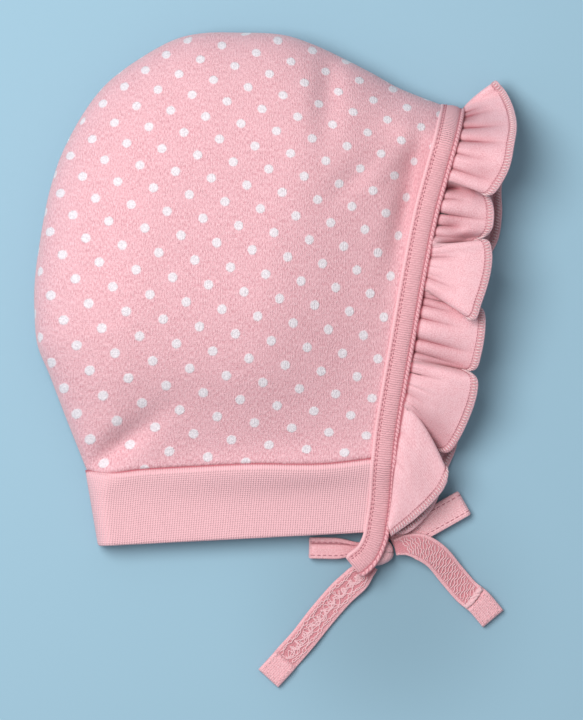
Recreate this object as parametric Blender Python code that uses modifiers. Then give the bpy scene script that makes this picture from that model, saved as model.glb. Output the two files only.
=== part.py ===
"""A baby's jersey bonnet lying on its side, with a gathered ruffle and tied straps.

+Z is up, +X points to the face opening and +Y to the top of the head. The origin is on the
flat underside of the lower crown panel. Sizes are in millimetres.
"""

import bmesh
import bpy
import numpy as np

MM = 0.001
GAP = 0.3

# Crown
CROWN_LENGTH = 149.5
CROWN_HEIGHT = 161.3
CROWN_BACK = -88.6
NECK_LEVEL = -40.7
DOME_HEIGHT = 40.0
SEAM_HEIGHT = 12.0
JERSEY_THICKNESS = 1.2

# Neck band
BAND_DEPTH = 28.6
BAND_THICKNESS = 2.4
BAND_BACK_SLANT = 4.8
BAND_FRONT_RISE = 4.9
FAR_BAND_SHORTER = 2.6

# Face binding
BINDING_WIDTH = 9.6
BINDING_THICKNESS = 2.6
BINDING_PROUD = 1.0
FAR_BINDING_SHORTER = 17.5

# Ruffle
RUFFLE_WIDTH = 24.0
FOLD_LIFT = 7.0

# Straps
STRAP_WIDTH = 10.0
STRAP_THICKNESS = 1.6
HEM_THICKNESS = 2.8
TAIL_REACH = 55.0
LEFT_LOOP_REACH = 24.9
RIGHT_LOOP_REACH = 36.2
LEFT_LOOP_ANGLE = 179.0
RIGHT_LOOP_ANGLE = 29.5
LOOP_BEND = 1.4
CROSSING_HEIGHT = 5.6
KNOT_LENGTH = 12.0
KNOT_WIDTH = 10.4
KNOT_HEIGHT = 8.4
KNOT_FROM_END = 9.7
KNOT_ASIDE = 2.9

# Centre seam from the neck round the back and over the top.
# forward: share of the crown's length. up: share of its height.
SEAM_TABLE = (
    (0.128, 0.000),
    (0.079, 0.115),
    (0.037, 0.218),
    (0.007, 0.287),
    (0.000, 0.356),
    (0.000, 0.425),
    (0.010, 0.505),
    (0.035, 0.631),
    (0.072, 0.734),
    (0.136, 0.838),
    (0.205, 0.906),
    (0.322, 0.975),
    (0.406, 0.998),
    (0.505, 1.000),
    (0.604, 0.996),
    (0.680, 0.975),
    (0.760, 0.941),
    (0.834, 0.906),
    (0.901, 0.872),
)

# Middle line of the face binding from its lower end to the top.
# forward: share of the crown's length. up: share of its height.
FACE_TABLE = (
    (0.786, -0.224),
    (0.820, -0.196),
    (0.839, -0.160),
    (0.846, -0.126),
    (0.854, -0.069),
    (0.859, 0.004),
    (0.869, 0.092),
    (0.884, 0.179),
    (0.903, 0.280),
    (0.923, 0.390),
    (0.943, 0.493),
    (0.965, 0.592),
    (0.993, 0.688),
    (1.017, 0.769),
    (1.032, 0.830),
)

# Shape across the seam, a row per place along it.
# along: share of the seam, below 0 on the neck band. seam: share of the seam's height.
# upper, lower: distance over which each panel turns flat, share of the crown's height.
ROLL_TABLE = (
    (-0.20, 0.34, 0.035, 0.025),
    (0.00, 0.42, 0.060, 0.034),
    (0.06, 0.60, 0.130, 0.070),
    (0.16, 0.90, 0.230, 0.100),
    (0.30, 1.00, 0.270, 0.110),
    (0.70, 1.00, 0.270, 0.110),
    (0.86, 0.85, 0.240, 0.090),
    (0.95, 0.62, 0.200, 0.065),
    (1.00, 0.50, 0.180, 0.055),
    (1.30, 0.50, 0.180, 0.055),
)

# Height of the upper side, a row per level.
# up: share of the crown's height. middle, face: shares of the dome's height.
LEVEL_TABLE = (
    (-0.30, 0.22, 0.23),
    (-0.17, 0.24, 0.23),
    (-0.03, 0.31, 0.31),
    (0.02, 0.38, 0.36),
    (0.07, 0.46, 0.40),
    (0.13, 0.58, 0.45),
    (0.22, 0.78, 0.52),
    (0.34, 0.94, 0.61),
    (0.50, 1.00, 0.65),
    (0.70, 0.98, 0.66),
    (0.85, 0.94, 0.64),
    (1.10, 0.92, 0.62),
)
FACE_BLEND = 0.38

# Dents and ridges pressed into the upper side, a row each.
# forward, up: shares of the crown's length and height. turn: degrees from forwards.
# length, width: shares of the crown's height. rise: share of the dome's height.
DENT_TABLE = (
    (0.705, 0.900, 85, 0.110, 0.040, -0.075),
    (0.855, 0.800, 158, 0.090, 0.035, 0.050),
    (0.780, 0.665, 40, 0.070, 0.028, -0.040),
    (0.905, 0.620, 76, 0.210, 0.032, -0.085),
    (0.190, 0.085, 38, 0.110, 0.040, -0.110),
    (0.620, 0.075, 3, 0.260, 0.030, 0.030),
)

# Folds of the ruffle's upper half, a row each, from the top down.
# along: share of the run from the lower end. slide, reach: where the edge goes, along and
# away from the binding, shares of the ruffle's width. lift: share of the fold lift.
UPPER_FOLDS = (
    (1.000, 0.51, 0.35, 0.0),
    (0.976, 0.41, 0.63, -0.3),
    (0.935, 0.34, 0.80, -0.4),
    (0.894, 0.19, 0.90, -0.1),
    (0.855, 0.04, 0.87, 0.2),
    (0.833, -0.07, 0.76, 0.4),
    (0.816, 0.02, 0.48, -0.7),
    (0.797, 0.30, 0.57, -1.2),
    (0.744, 0.23, 0.78, -0.4),
    (0.706, 0.12, 0.80, -0.7),
    (0.686, 0.15, 0.55, -1.1),
    (0.667, 0.28, 0.82, -0.1),
    (0.629, 0.17, 0.95, 0.1),
    (0.601, -0.09, 0.95, 0.3),
    (0.579, -0.39, 0.81, 0.4),
    (0.563, -0.14, 0.70, -0.8),
    (0.539, -0.07, 0.97, -0.9),
    (0.496, -0.11, 1.04, -0.2),
    (0.451, -0.41, 0.79, 0.3),
    (0.435, -0.15, 0.74, -0.8),
    (0.416, -0.21, 1.01, -0.9),
    (0.363, -0.31, 1.08, -0.3),
    (0.316, -0.49, 0.89, -0.4),
    (0.297, -0.61, 0.66, -0.9),
    (0.285, -0.89, 0.83, -0.2),
    (0.207, -0.70, 0.69, -0.1),
    (0.113, -0.44, 0.38, 0.0),
    (0.038, -0.13, 0.15, 0.0),
)

# Folds of the ruffle's lower half, which lies on the ground, from the top down.
LOWER_FOLDS = (
    (0.970, 0.40, 0.58, 0.0),
    (0.920, 0.20, 0.80, 0.4),
    (0.860, 0.00, 0.82, 0.1),
    (0.790, 0.02, 0.94, 0.5),
    (0.720, 0.02, 0.98, 0.1),
    (0.650, 0.00, 0.86, 0.5),
    (0.570, -0.05, 0.84, 0.1),
    (0.490, -0.10, 0.88, 0.5),
    (0.410, -0.10, 0.84, 0.1),
    (0.330, -0.15, 0.88, 0.5),
    (0.250, -0.20, 0.90, 0.1),
    (0.170, -0.25, 0.74, 0.3),
    (0.090, -0.05, 0.50, 0.1),
    (0.030, 0.05, 0.24, 0.0),
)

# Straps from the knot outwards, a row per place along the middle line.
# forward, up: shares of the tail's reach. height: share of the crossing height.
# width, thick: shares of the strap's width and of the way to the hem's thickness.
LEFT_TAIL_TABLE = (
    (-0.075, -0.108, 0.62, 0.60, 0.0),
    (-0.150, -0.192, 0.46, 0.85, 0.0),
    (-0.255, -0.290, 0.20, 1.00, 0.0),
    (-0.385, -0.440, 0.10, 1.00, 0.0),
    (-0.505, -0.592, 0.22, 0.98, 0.0),
    (-0.605, -0.705, 0.06, 1.00, 0.0),
    (-0.650, -0.758, 0.04, 1.00, 1.0),
    (-0.742, -0.858, 0.00, 1.00, 1.0),
)
RIGHT_TAIL_TABLE = (
    (0.120, 0.030, 1.00, 0.60, 0.0),
    (0.200, 0.045, 1.00, 0.80, 0.0),
    (0.290, 0.030, 0.95, 1.00, 0.0),
    (0.395, -0.035, 0.72, 1.00, 0.0),
    (0.495, -0.155, 0.30, 1.00, 0.0),
    (0.590, -0.265, 0.14, 1.00, 0.0),
    (0.650, -0.315, 0.28, 1.00, 0.0),
    (0.690, -0.350, 0.20, 1.00, 1.0),
    (0.778, -0.455, 0.00, 1.00, 1.0),
)

# Section of the binding and of a strap, shares of the width and thickness.
BINDING_SECTION = (
    (-0.50, 0.00),
    (-0.47, 0.30),
    (-0.36, 0.38),
    (-0.16, 0.50),
    (0.16, 0.50),
    (0.36, 0.36),
    (0.47, 0.30),
    (0.50, 0.00),
    (0.46, -0.42),
    (0.30, -0.50),
    (-0.30, -0.50),
    (-0.46, -0.42),
)
STRAP_SECTION = (
    (-0.50, 0.00),
    (-0.46, 0.40),
    (-0.36, 0.50),
    (0.36, 0.50),
    (0.46, 0.40),
    (0.50, 0.00),
    (0.46, -0.40),
    (0.36, -0.50),
    (-0.36, -0.50),
    (-0.46, -0.40),
)

# Outline of the knot from the side, shares of its width and height.
KNOT_SECTION = (
    (0.60, 0.00),
    (0.92, 0.10),
    (1.00, 0.28),
    (1.00, 0.66),
    (0.92, 0.88),
    (0.62, 1.00),
)

# Steps of the meshes
KNOT_SIDES = 18
SEAM_STEPS = 30
ROLL_SHARES = (0.0, 0.004, 0.016, 0.038, 0.07, 0.12, 0.19, 0.28, 0.39, 0.51, 0.63, 0.75, 0.87, 1.0)
BAND_SHARES = (0.0, 0.003, 0.010, 0.022, 0.042, 0.07, 0.11, 0.2, 0.35, 0.5, 0.65, 0.8, 0.92, 1.0)
TOP_SHARES = (0.0, 0.003, 0.009, 0.019, 0.034, 0.055, 0.082, 0.12, 0.165)
BINDING_STEPS = 24
RUFFLE_STEPS = 3
RUFFLE_SHARES = (0.0, 0.14, 0.34, 0.56, 0.78, 1.0)
BAND_ROWS = 4
STRAP_STEPS = 3


def smooth(share):
    share = np.clip(share, 0.0, 1.0)
    return share * share * (3.0 - 2.0 * share)


def turned(vectors):
    """Plan vectors turned a quarter to the right."""
    return np.column_stack([vectors[:, 1], -vectors[:, 0]])


def unit(vectors):
    return vectors / np.linalg.norm(vectors, axis=-1, keepdims=True)


def curve_through(rows, steps):
    """A smooth curve through the rows of a table, with this many steps to each row."""
    rows = np.asarray(rows, float)
    padded = np.vstack([2 * rows[0] - rows[1], rows, 2 * rows[-1] - rows[-2]])
    share = np.arange(steps)[:, None] / steps
    spans = []
    for a, b, c, d in zip(padded, padded[1:], padded[2:], padded[3:]):
        bend = 2 * a - 5 * b + 4 * c - d
        spans.append(b + ((c - a) * share + bend * share**2 + (3 * b - a - 3 * c + d) * share**3) / 2)
    return np.vstack([*spans, rows[-1:]])


def lengths_along(curve):
    steps = np.linalg.norm(np.diff(curve, axis=0), axis=1)
    return np.concatenate([[0.0], np.cumsum(steps)])


def points_at(curve, lengths):
    """Points of a curve at these lengths along it."""
    along = lengths_along(curve)
    return np.column_stack([np.interp(lengths, along, column) for column in curve.T])


def read_smoothly(table, places):
    """Every column of a table but its first, on a smooth curve through its rows."""
    table = np.asarray(table, float)
    start, values = table[:, 0], table[:, 1:]
    slopes = np.gradient(values, start, axis=0)
    row = np.clip(np.searchsorted(start, places) - 1, 0, len(table) - 2)
    span = (start[row + 1] - start[row])[:, None]
    share = np.clip((places - start[row])[:, None] / span, 0.0, 1.0)
    low, high = values[row], values[row + 1]
    ease = smooth(share)
    leave = share * (1.0 - share) ** 2 * span * slopes[row]
    arrive = share**2 * (1.0 - share) * span * slopes[row + 1]
    return (low + (high - low) * ease + leave - arrive).T


def on_crown(rows):
    """Plan points from shares of the crown's length and height."""
    rows = np.asarray(rows, float)
    return rows * (CROWN_LENGTH, CROWN_HEIGHT) + (CROWN_BACK, NECK_LEVEL)


FACE_LINE = curve_through(on_crown(FACE_TABLE), 8)[::-1]
FACE_LENGTH = lengths_along(FACE_LINE)[-1]
RUFFLE_RUN = FACE_LENGTH - FAR_BINDING_SHORTER


def face_points(lengths):
    """Plan points of the face line this far from its top, and its directions up and outwards."""
    step = BINDING_WIDTH / 8
    reach = np.clip(lengths, step, FACE_LENGTH - step)
    above = points_at(FACE_LINE, reach - step)
    below = points_at(FACE_LINE, reach + step)
    up = unit(above - below)
    return points_at(FACE_LINE, lengths), up, turned(up)


def face_edge(lengths, away):
    """Plan points this far to the right of the face line."""
    middle, _, outwards = face_points(lengths)
    return middle + outwards * away


CROWN_AWAY = -(BINDING_WIDTH / 2 + GAP)
TOP_CORNER = face_edge(np.zeros(1), CROWN_AWAY)
SEAM_LINE = curve_through(np.vstack([on_crown(SEAM_TABLE), TOP_CORNER]), 4)
SEAM_LENGTH = lengths_along(SEAM_LINE)[-1]
BAND_FOOT = SEAM_LINE[0] + (BAND_BACK_SLANT, -BAND_DEPTH)


def outline():
    """The folded edge in plan: the band's back, the seam, and the top of the face opening."""
    below = SEAM_LINE[:1] + (BAND_FOOT - SEAM_LINE[0]) * 3
    beyond = face_edge(np.zeros(1), RUFFLE_WIDTH * 2)
    return np.vstack([below, SEAM_LINE, beyond])


OUTLINE = outline()
OUTLINE_START = np.linalg.norm(OUTLINE[1] - OUTLINE[0])


def seam_distance(plan):
    """Distance of plan points from the folded edge, and the share of the seam beside them."""
    step = np.diff(OUTLINE, axis=0)
    from_start = plan[:, None, :] - OUTLINE[:-1]
    share = np.clip((from_start * step).sum(axis=2) / (step**2).sum(axis=1), 0.0, 1.0)
    away = np.linalg.norm(from_start - share[..., None] * step, axis=2)
    row = away.argmin(axis=1)
    pick = np.arange(len(plan))
    along = lengths_along(OUTLINE)[row] + share[pick, row] * np.linalg.norm(step[row], axis=1)
    return away[pick, row], (along - OUTLINE_START) / SEAM_LENGTH


def rounded(share):
    """A quarter circle: straight up at 0 and level from 1 on."""
    return np.sqrt(1.0 - (1.0 - np.clip(share, 0.0, 1.0)) ** 2)


def dents(plan):
    """Height that the dents and ridges add at plan points."""
    total = np.zeros(len(plan))
    for forward, up, turn, length, width, rise in DENT_TABLE:
        away = plan - on_crown([(forward, up)])
        angle = np.radians(turn)
        along = away @ (np.cos(angle), np.sin(angle)) / (length * CROWN_HEIGHT)
        across = away @ (-np.sin(angle), np.cos(angle)) / (width * CROWN_HEIGHT)
        total += rise * DOME_HEIGHT * np.exp(-(along**2) - across**2)
    return total


def crest_height(plan):
    """Height of the upper side away from its edges."""
    level = (plan[:, 1] - NECK_LEVEL) / CROWN_HEIGHT
    middle, face = read_smoothly(LEVEL_TABLE, level)
    order = np.argsort(FACE_LINE[:, 1])
    face_forward = np.interp(plan[:, 1], FACE_LINE[order, 1], FACE_LINE[order, 0])
    reach = FACE_BLEND * CROWN_LENGTH
    blend = smooth((plan[:, 0] - face_forward + reach) / reach)
    return DOME_HEIGHT * (middle + (face - middle) * blend) + dents(plan)


def upper_height(plan):
    """Middle height of the upper side's cloth."""
    away, along = seam_distance(plan)
    seam, roll, _ = read_smoothly(ROLL_TABLE, along)
    foot = seam * SEAM_HEIGHT
    return foot + (crest_height(plan) - foot) * rounded(away / (roll * CROWN_HEIGHT))


def lower_height(plan, thickness):
    """Middle height of the lower side's cloth, which rests on the ground."""
    away, along = seam_distance(plan)
    seam, _, roll = read_smoothly(ROLL_TABLE, along)
    ground = thickness / 2
    return ground + (seam * SEAM_HEIGHT - ground) * (1.0 - rounded(away / (roll * CROWN_HEIGHT)))


def neck_length():
    """Length along the face line from its top to the neck seam."""
    front = NECK_LEVEL + BAND_FRONT_RISE
    crown_side = face_edge(lengths_along(FACE_LINE), CROWN_AWAY)
    order = np.argsort(crown_side[:, 1])
    return np.interp(front, crown_side[order, 1], lengths_along(FACE_LINE)[order])


NECK_LENGTH = neck_length()


def surface_mesh(name, rows, ends_in_point=False):
    """An open sheet through rows of points, the last one drawn to a point if asked."""
    rows = np.asarray(rows)
    count, width = rows.shape[:2]
    mesh = bpy.data.meshes.new(name)
    build = bmesh.new()
    last = count - 1 if ends_in_point else count
    grid = [[build.verts.new(point * MM) for point in row] for row in rows[:last]]
    for low, high in zip(grid, grid[1:]):
        for i in range(width - 1):
            build.faces.new((low[i], low[i + 1], high[i + 1], high[i]))
    if ends_in_point:
        tip = build.verts.new(rows[-1, 0] * MM)
        for first, second in zip(grid[-1], grid[-1][1:]):
            build.faces.new((first, second, tip))
    for face in build.faces:
        face.smooth = True
    build.to_mesh(mesh)
    build.free()
    return mesh


def add_sheet(name, rows, thickness, material, ends_in_point=False):
    """A cloth sheet, thickened evenly about its middle surface."""
    part = add_part(name, surface_mesh(name, rows, ends_in_point), material)
    shell = part.modifiers.new("cloth thickness", "SOLIDIFY")
    shell.thickness = thickness * MM
    shell.offset = 0.0
    shell.use_even_offset = True
    shell.use_quality_normals = True
    return part


def add_part(name, mesh, material):
    part = bpy.data.objects.new(name, mesh)
    mesh.materials.append(material)
    PARTS.objects.link(part)
    return part


def add_strip(name, middles, sides, section, widths, thicknesses, material):
    """A flat strip along middle points, its section set across by the side directions."""
    along = np.gradient(middles, axis=0)
    ups = unit(np.cross(sides, unit(along)))
    build = bmesh.new()
    rings = []
    for middle, side, up, width, thickness in zip(middles, sides, ups, widths, thicknesses):
        ring = []
        for across, rise in section:
            point = middle + side * across * width + up * rise * thickness
            ring.append(build.verts.new(point * MM))
        rings.append(ring)
    corners = len(section)
    for low, high in zip(rings, rings[1:]):
        for i in range(corners):
            j = (i + 1) % corners
            build.faces.new((low[i], low[j], high[j], high[i]))
    build.faces.new(rings[0][::-1])
    build.faces.new(rings[-1])
    bmesh.ops.recalc_face_normals(build, faces=build.faces)
    for face in build.faces:
        face.smooth = len(face.verts) == 4
    mesh = bpy.data.meshes.new(name)
    build.to_mesh(mesh)
    build.free()
    return add_part(name, mesh, material)


def cloth(name, colour, roughness):
    material = bpy.data.materials.new(name)
    material.use_nodes = True
    shader = material.node_tree.nodes["Principled BSDF"]
    shader.inputs["Base Color"].default_value = (*colour, 1.0)
    shader.inputs["Roughness"].default_value = roughness
    shader.inputs["Metallic"].default_value = 0.0
    material.diffuse_color = (*colour, 1.0)
    return material


def crown_rows(height_of, seam_lift):
    """Rows of a crown panel, from the seam to the face edge, from the neck to the top."""
    seam = points_at(SEAM_LINE, np.linspace(0.0, SEAM_LENGTH, SEAM_STEPS + 1))
    seam_share = np.linspace(0.0, 1.0, SEAM_STEPS + 1)
    face_lengths = NECK_LENGTH * (1.0 - seam_share)
    face = face_edge(face_lengths, CROWN_AWAY)
    middle = face_points(face_lengths)[0]
    share = np.array(ROLL_SHARES)[:, None]
    fade = smooth((share[:, 0] - 0.6) / 0.4)
    rows = []
    for start, end, ring in zip(seam, face, middle):
        plan = start + (end - start) * share
        height = height_of(plan)
        match = height_of(ring[None])[0] - height[-1]
        height = height + match * fade
        height[0] += seam_lift
        rows.append(np.column_stack([plan, height]))
    return rows


def add_crown(material):
    upper = crown_rows(upper_height, GAP / 2)
    add_sheet("crown_upper", upper, JERSEY_THICKNESS, material, ends_in_point=True)

    def resting(plan):
        return lower_height(plan, JERSEY_THICKNESS)

    lower = crown_rows(resting, -GAP / 2)
    add_sheet("crown_lower", lower, JERSEY_THICKNESS, material, ends_in_point=True)


def band_rows(height_of, shorter):
    """Rows of one side of the neck band, from the back fold to the binding."""
    crown_end = face_edge(np.array([NECK_LENGTH]), CROWN_AWAY)[0]
    depth = (SEAM_LINE[0] - BAND_FOOT)[1]
    foot_end = face_edge(np.array([NECK_LENGTH + depth]), CROWN_AWAY)[0]
    share = np.array(BAND_SHARES)[:, None]
    top = SEAM_LINE[0] + (crown_end - SEAM_LINE[0]) * share
    foot = BAND_FOOT + (foot_end - BAND_FOOT) * share
    short = shorter * smooth(share / 0.1)
    columns = []
    for row in range(BAND_ROWS + 1):
        down = row / BAND_ROWS
        inset = GAP * (1.0 - down)
        drop = (depth - GAP - short) / depth * down
        plan = top + (foot - top) * drop - (0.0, 1.0) * np.full_like(share, inset)
        columns.append(np.column_stack([plan, height_of(plan)]))
    return np.array(columns)


def add_band(material):
    upper = band_rows(upper_height, 0.0)
    lower = band_rows(lambda plan: lower_height(plan, BAND_THICKNESS), FAR_BAND_SHORTER)
    rows = np.concatenate([upper[:, ::-1], lower[:, 1:]], axis=1)
    add_sheet("neck_band", rows, BAND_THICKNESS, material)


def ring_lengths(shorter):
    """Lengths from the top of the face line, close together where it turns over."""
    length = FACE_LENGTH - shorter
    top = np.array(TOP_SHARES) * FACE_LENGTH
    rest = np.linspace(top[-1], length, BINDING_STEPS + 1)[1:]
    return np.concatenate([top, rest])


def ring_height(lengths, upper):
    """Height of the binding's middle on the upper or the lower side."""
    plan = face_points(lengths)[0]
    if upper:
        proud = BINDING_PROUD * smooth(lengths / BINDING_WIDTH)
        return upper_height(plan) + proud
    return lower_height(plan, BINDING_THICKNESS)


def add_binding(material):
    upper, lower = ring_lengths(0.0), ring_lengths(FAR_BINDING_SHORTER)
    lengths = np.concatenate([upper[::-1], lower[1:]])
    height = np.concatenate([ring_height(upper[::-1], True), ring_height(lower[1:], False)])
    plan, _, outwards = face_points(lengths)
    middles = np.column_stack([plan, height])
    sides = np.column_stack([outwards, np.zeros(len(plan))])
    widths = np.full(len(plan), BINDING_WIDTH)
    thicknesses = np.full(len(plan), BINDING_THICKNESS)
    add_strip("face_binding", middles, sides, BINDING_SECTION, widths, thicknesses, material)


def ruffle_side(folds, upper):
    """Rows of one half of the ruffle, each from the binding to the outer edge."""
    rows = []
    for along, slide, reach, lift in folds:
        length = np.array([(1.0 - along) * RUFFLE_RUN])
        root, up, outwards = face_points(length)
        root = root + outwards * (BINDING_WIDTH / 2 + GAP)
        foot = ring_height(length, upper)[0]
        if not upper:
            drop = (BINDING_THICKNESS - JERSEY_THICKNESS) / 2
            foot = max(foot - drop, JERSEY_THICKNESS / 2)
        row = []
        for share in RUFFLE_SHARES:
            plan = root + RUFFLE_WIDTH * (up * slide * share**1.4 + outwards * reach * share)
            height = foot + lift * FOLD_LIFT * smooth(share * 1.1)
            row.append((*plan[0], height))
        rows.append(row)
    return rows


def add_ruffle(material):
    upper = curve_through(UPPER_FOLDS, RUFFLE_STEPS)
    lower = curve_through((UPPER_FOLDS[0], *LOWER_FOLDS), RUFFLE_STEPS)[1:]
    rows = ruffle_side(upper[::-1], True) + ruffle_side(lower, False)
    add_sheet("face_ruffle", rows, JERSEY_THICKNESS, material)


def knot_centre():
    """Plan point under the binding's lower end, where the bow is tied."""
    return face_edge(np.array([FACE_LENGTH - KNOT_FROM_END]), KNOT_ASIDE)[0]


def knot_side(way):
    """Distance from the knot's centre to just clear of its side, in this direction."""
    across = np.hypot(way[0] / KNOT_LENGTH, way[1] / KNOT_WIDTH)
    return 0.5 / across + GAP


def add_tail(name, table, material):
    """A loose end of the strap, with its hemmed end lying on the ground."""
    rows = curve_through(table, STRAP_STEPS)
    thickness = STRAP_THICKNESS + (HEM_THICKNESS - STRAP_THICKNESS) * np.clip(rows[:, 4], 0, 1)
    away = rows[:, :2] * TAIL_REACH
    way = unit(away[1])
    away[0] = way * knot_side(way)
    plan = knot_centre() + away
    free = np.clip(rows[:, 2], 0.0, 1.0) * (CROSSING_HEIGHT - STRAP_THICKNESS / 2)
    middles = np.column_stack([plan, free + thickness / 2])
    along = unit(np.gradient(plan, axis=0))
    sides = np.column_stack([turned(along), np.zeros(len(plan))])
    widths = STRAP_WIDTH * np.clip(rows[:, 3], 0.0, 1.0)
    add_strip(name, middles, sides, STRAP_SECTION, widths, thickness, material)


def add_loop(name, angle, reach, material):
    """A bow loop: out along the ground, round its end and back over itself."""
    way = np.array([np.cos(np.radians(angle)), np.sin(np.radians(angle))])
    start = knot_side(way)
    run = np.linspace(start, reach - LOOP_BEND, 6)
    turn = np.radians(np.linspace(-90, 90, 9)[1:-1])
    distance = np.concatenate([run, reach - LOOP_BEND + LOOP_BEND * np.cos(turn), run[::-1]])
    middle_height = STRAP_THICKNESS / 2 + LOOP_BEND
    height = np.concatenate([
        np.full(len(run), STRAP_THICKNESS / 2),
        middle_height + LOOP_BEND * np.sin(turn),
        np.full(len(run), middle_height + LOOP_BEND),
    ])
    plan = knot_centre() + distance[:, None] * way
    side = np.array([[way[1], -way[0], 0.0]])
    middles = np.column_stack([plan, height])
    widths = STRAP_WIDTH * (0.6 + 0.4 * smooth((distance - start) / STRAP_WIDTH))
    thickness = np.full(len(middles), STRAP_THICKNESS)
    sides = np.repeat(side, len(middles), axis=0)
    add_strip(name, middles, sides, STRAP_SECTION, widths, thickness, material)


def add_knot(material):
    """The pulled-tight knot, a low rounded lump with straight sides."""
    turn = np.radians(np.arange(0, 360, 360 / KNOT_SIDES))
    ring = np.column_stack([np.cos(turn) * KNOT_LENGTH, np.sin(turn) * KNOT_WIDTH]) / 2
    build = bmesh.new()
    rings = []
    for width, height in KNOT_SECTION:
        points = np.column_stack([ring * width, np.full(len(ring), height * KNOT_HEIGHT)])
        rings.append([build.verts.new(point * MM) for point in points])
    for low, high in zip(rings, rings[1:]):
        for i in range(KNOT_SIDES):
            j = (i + 1) % KNOT_SIDES
            build.faces.new((low[i], low[j], high[j], high[i]))
    build.faces.new(rings[0][::-1])
    build.faces.new(rings[-1])
    for face in build.faces:
        face.smooth = True
    mesh = bpy.data.meshes.new("tie_knot")
    build.to_mesh(mesh)
    build.free()
    knot = add_part("tie_knot", mesh, material)
    knot.location = (*(knot_centre() * MM), 0.0)


def clear_scene():
    for item in list(bpy.data.objects):
        bpy.data.objects.remove(item, do_unlink=True)


clear_scene()
PARTS = bpy.data.collections.new("baby_bonnet")
bpy.context.scene.collection.children.link(PARTS)

dotted_jersey = cloth("dotted jersey", (0.83, 0.50, 0.55), 0.85)
rib_knit = cloth("rib knit", (0.87, 0.50, 0.56), 0.9)
binding_jersey = cloth("binding jersey", (0.87, 0.50, 0.55), 0.85)
ruffle_jersey = cloth("ruffle jersey", (0.85, 0.48, 0.53), 0.85)
strap_jersey = cloth("strap jersey", (0.84, 0.46, 0.51), 0.85)

add_crown(dotted_jersey)
add_band(rib_knit)
add_binding(binding_jersey)
add_ruffle(ruffle_jersey)
add_knot(strap_jersey)
add_tail("tie_tail_left", LEFT_TAIL_TABLE, strap_jersey)
add_tail("tie_tail_right", RIGHT_TAIL_TABLE, strap_jersey)
add_loop("bow_loop_left", LEFT_LOOP_ANGLE, LEFT_LOOP_REACH, strap_jersey)
add_loop("bow_loop_right", RIGHT_LOOP_ANGLE, RIGHT_LOOP_REACH, strap_jersey)
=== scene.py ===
"""The looks of a baby's jersey bonnet lying on its side.

Each cloth piece is a closed thin sheet about a grid of middle points, with knit, dots, hems
and stitches. +Z is up, +X points to the face opening and +Y to the top of the head. Sizes are
in millimetres.
"""

import bpy
import numpy as np
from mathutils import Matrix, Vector


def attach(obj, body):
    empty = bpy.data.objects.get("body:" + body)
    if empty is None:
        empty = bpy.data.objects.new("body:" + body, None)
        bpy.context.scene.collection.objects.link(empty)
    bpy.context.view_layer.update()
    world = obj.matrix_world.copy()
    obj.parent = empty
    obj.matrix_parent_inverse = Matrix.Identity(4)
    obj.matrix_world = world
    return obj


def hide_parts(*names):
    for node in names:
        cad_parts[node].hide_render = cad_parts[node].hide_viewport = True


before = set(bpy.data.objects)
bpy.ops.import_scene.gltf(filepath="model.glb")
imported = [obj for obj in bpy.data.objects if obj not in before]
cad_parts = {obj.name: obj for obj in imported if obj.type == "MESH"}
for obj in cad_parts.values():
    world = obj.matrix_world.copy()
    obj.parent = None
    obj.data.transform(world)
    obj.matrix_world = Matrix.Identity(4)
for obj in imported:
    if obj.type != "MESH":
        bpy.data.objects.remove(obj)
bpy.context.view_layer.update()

# A millimetre in the frame's metres, and the space between two pieces
MM = 0.001
GAP = 0.3

# Crown
CROWN_LENGTH = 149.5
CROWN_HEIGHT = 161.3
CROWN_BACK = -88.6
NECK_LEVEL = -40.7
DOME_HEIGHT = 40.0
SEAM_HEIGHT = 12.0
JERSEY_THICKNESS = 1.2
CROWN_TUCK = 2.0
SEAM_MARGIN = 2.0
NECK_ROLL = 1.5
NECK_ROLL_WIDTH = 1.4
NECK_SAG_REACH = 12.0

# Neck band
BAND_DEPTH = 28.6
BAND_THICKNESS = 2.4
BAND_BACK_SLANT = 4.8
BAND_FRONT_RISE = 4.9
BAND_ROLL_WIDTH = 2.2
FAR_BAND_SHORTER = 2.6

# Face binding
BINDING_WIDTH = 9.6
BINDING_THICKNESS = 2.6
BINDING_PROUD = 1.0
FAR_BINDING_SHORTER = 17.5
# The binding's outer lip beyond this place across its section, and how dark its painted shade is where the
# ruffle meets it
LIP_START = 0.47
LIP_SHADE = 0.7
STITCH_SPACE = 0.7

# Ruffle
RUFFLE_WIDTH = 24.0
RUFFLE_TUCK = 0.8
RUFFLE_SWELL = 8.0
FOLD_LIFT = 7.0
HEM_WIDTH = 2.6
HEM_SWELL = 0.5
LADDER_PITCH = 1.15

# Straps
STRAP_WIDTH = 10.0
STRAP_THICKNESS = 1.6
HEM_THICKNESS = 2.8
TAIL_REACH = 55.0
LEFT_LOOP_REACH = 24.9
RIGHT_LOOP_REACH = 36.2
LEFT_LOOP_ANGLE = 179.0
RIGHT_LOOP_ANGLE = 29.5
LOOP_BEND = 1.4
CROSSING_HEIGHT = 5.6
KNOT_LENGTH = 12.0
KNOT_WIDTH = 10.4
KNOT_HEIGHT = 8.4
KNOT_FROM_END = 9.7
KNOT_ASIDE = 2.9

# Threads
THREAD_RADIUS = 0.18
RAW_EDGE_RADIUS = 0.48
THREAD_SHIFT = 3.7
HEM_LINE = 0.36
LOOP_LINE = 0.33

# Printed dots: two steps of their lattice, the place of one dot, and their radius
DOT_STEP_A = (13.13, -2.59)
DOT_STEP_B = (-8.10, -6.09)
DOT_PLACE = (-22.0, 42.3)
DOT_RADIUS = 1.75

# Colours of painted shade in folds, creases, grooves and seams, the first also of the bow tails' darker
# tone; the second one in the ruffle
SHADE_AND_TONE_PINK = (0.50, 0.12, 0.155)
CREASE_SHADE_PINK = (0.36, 0.065, 0.09)

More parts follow.
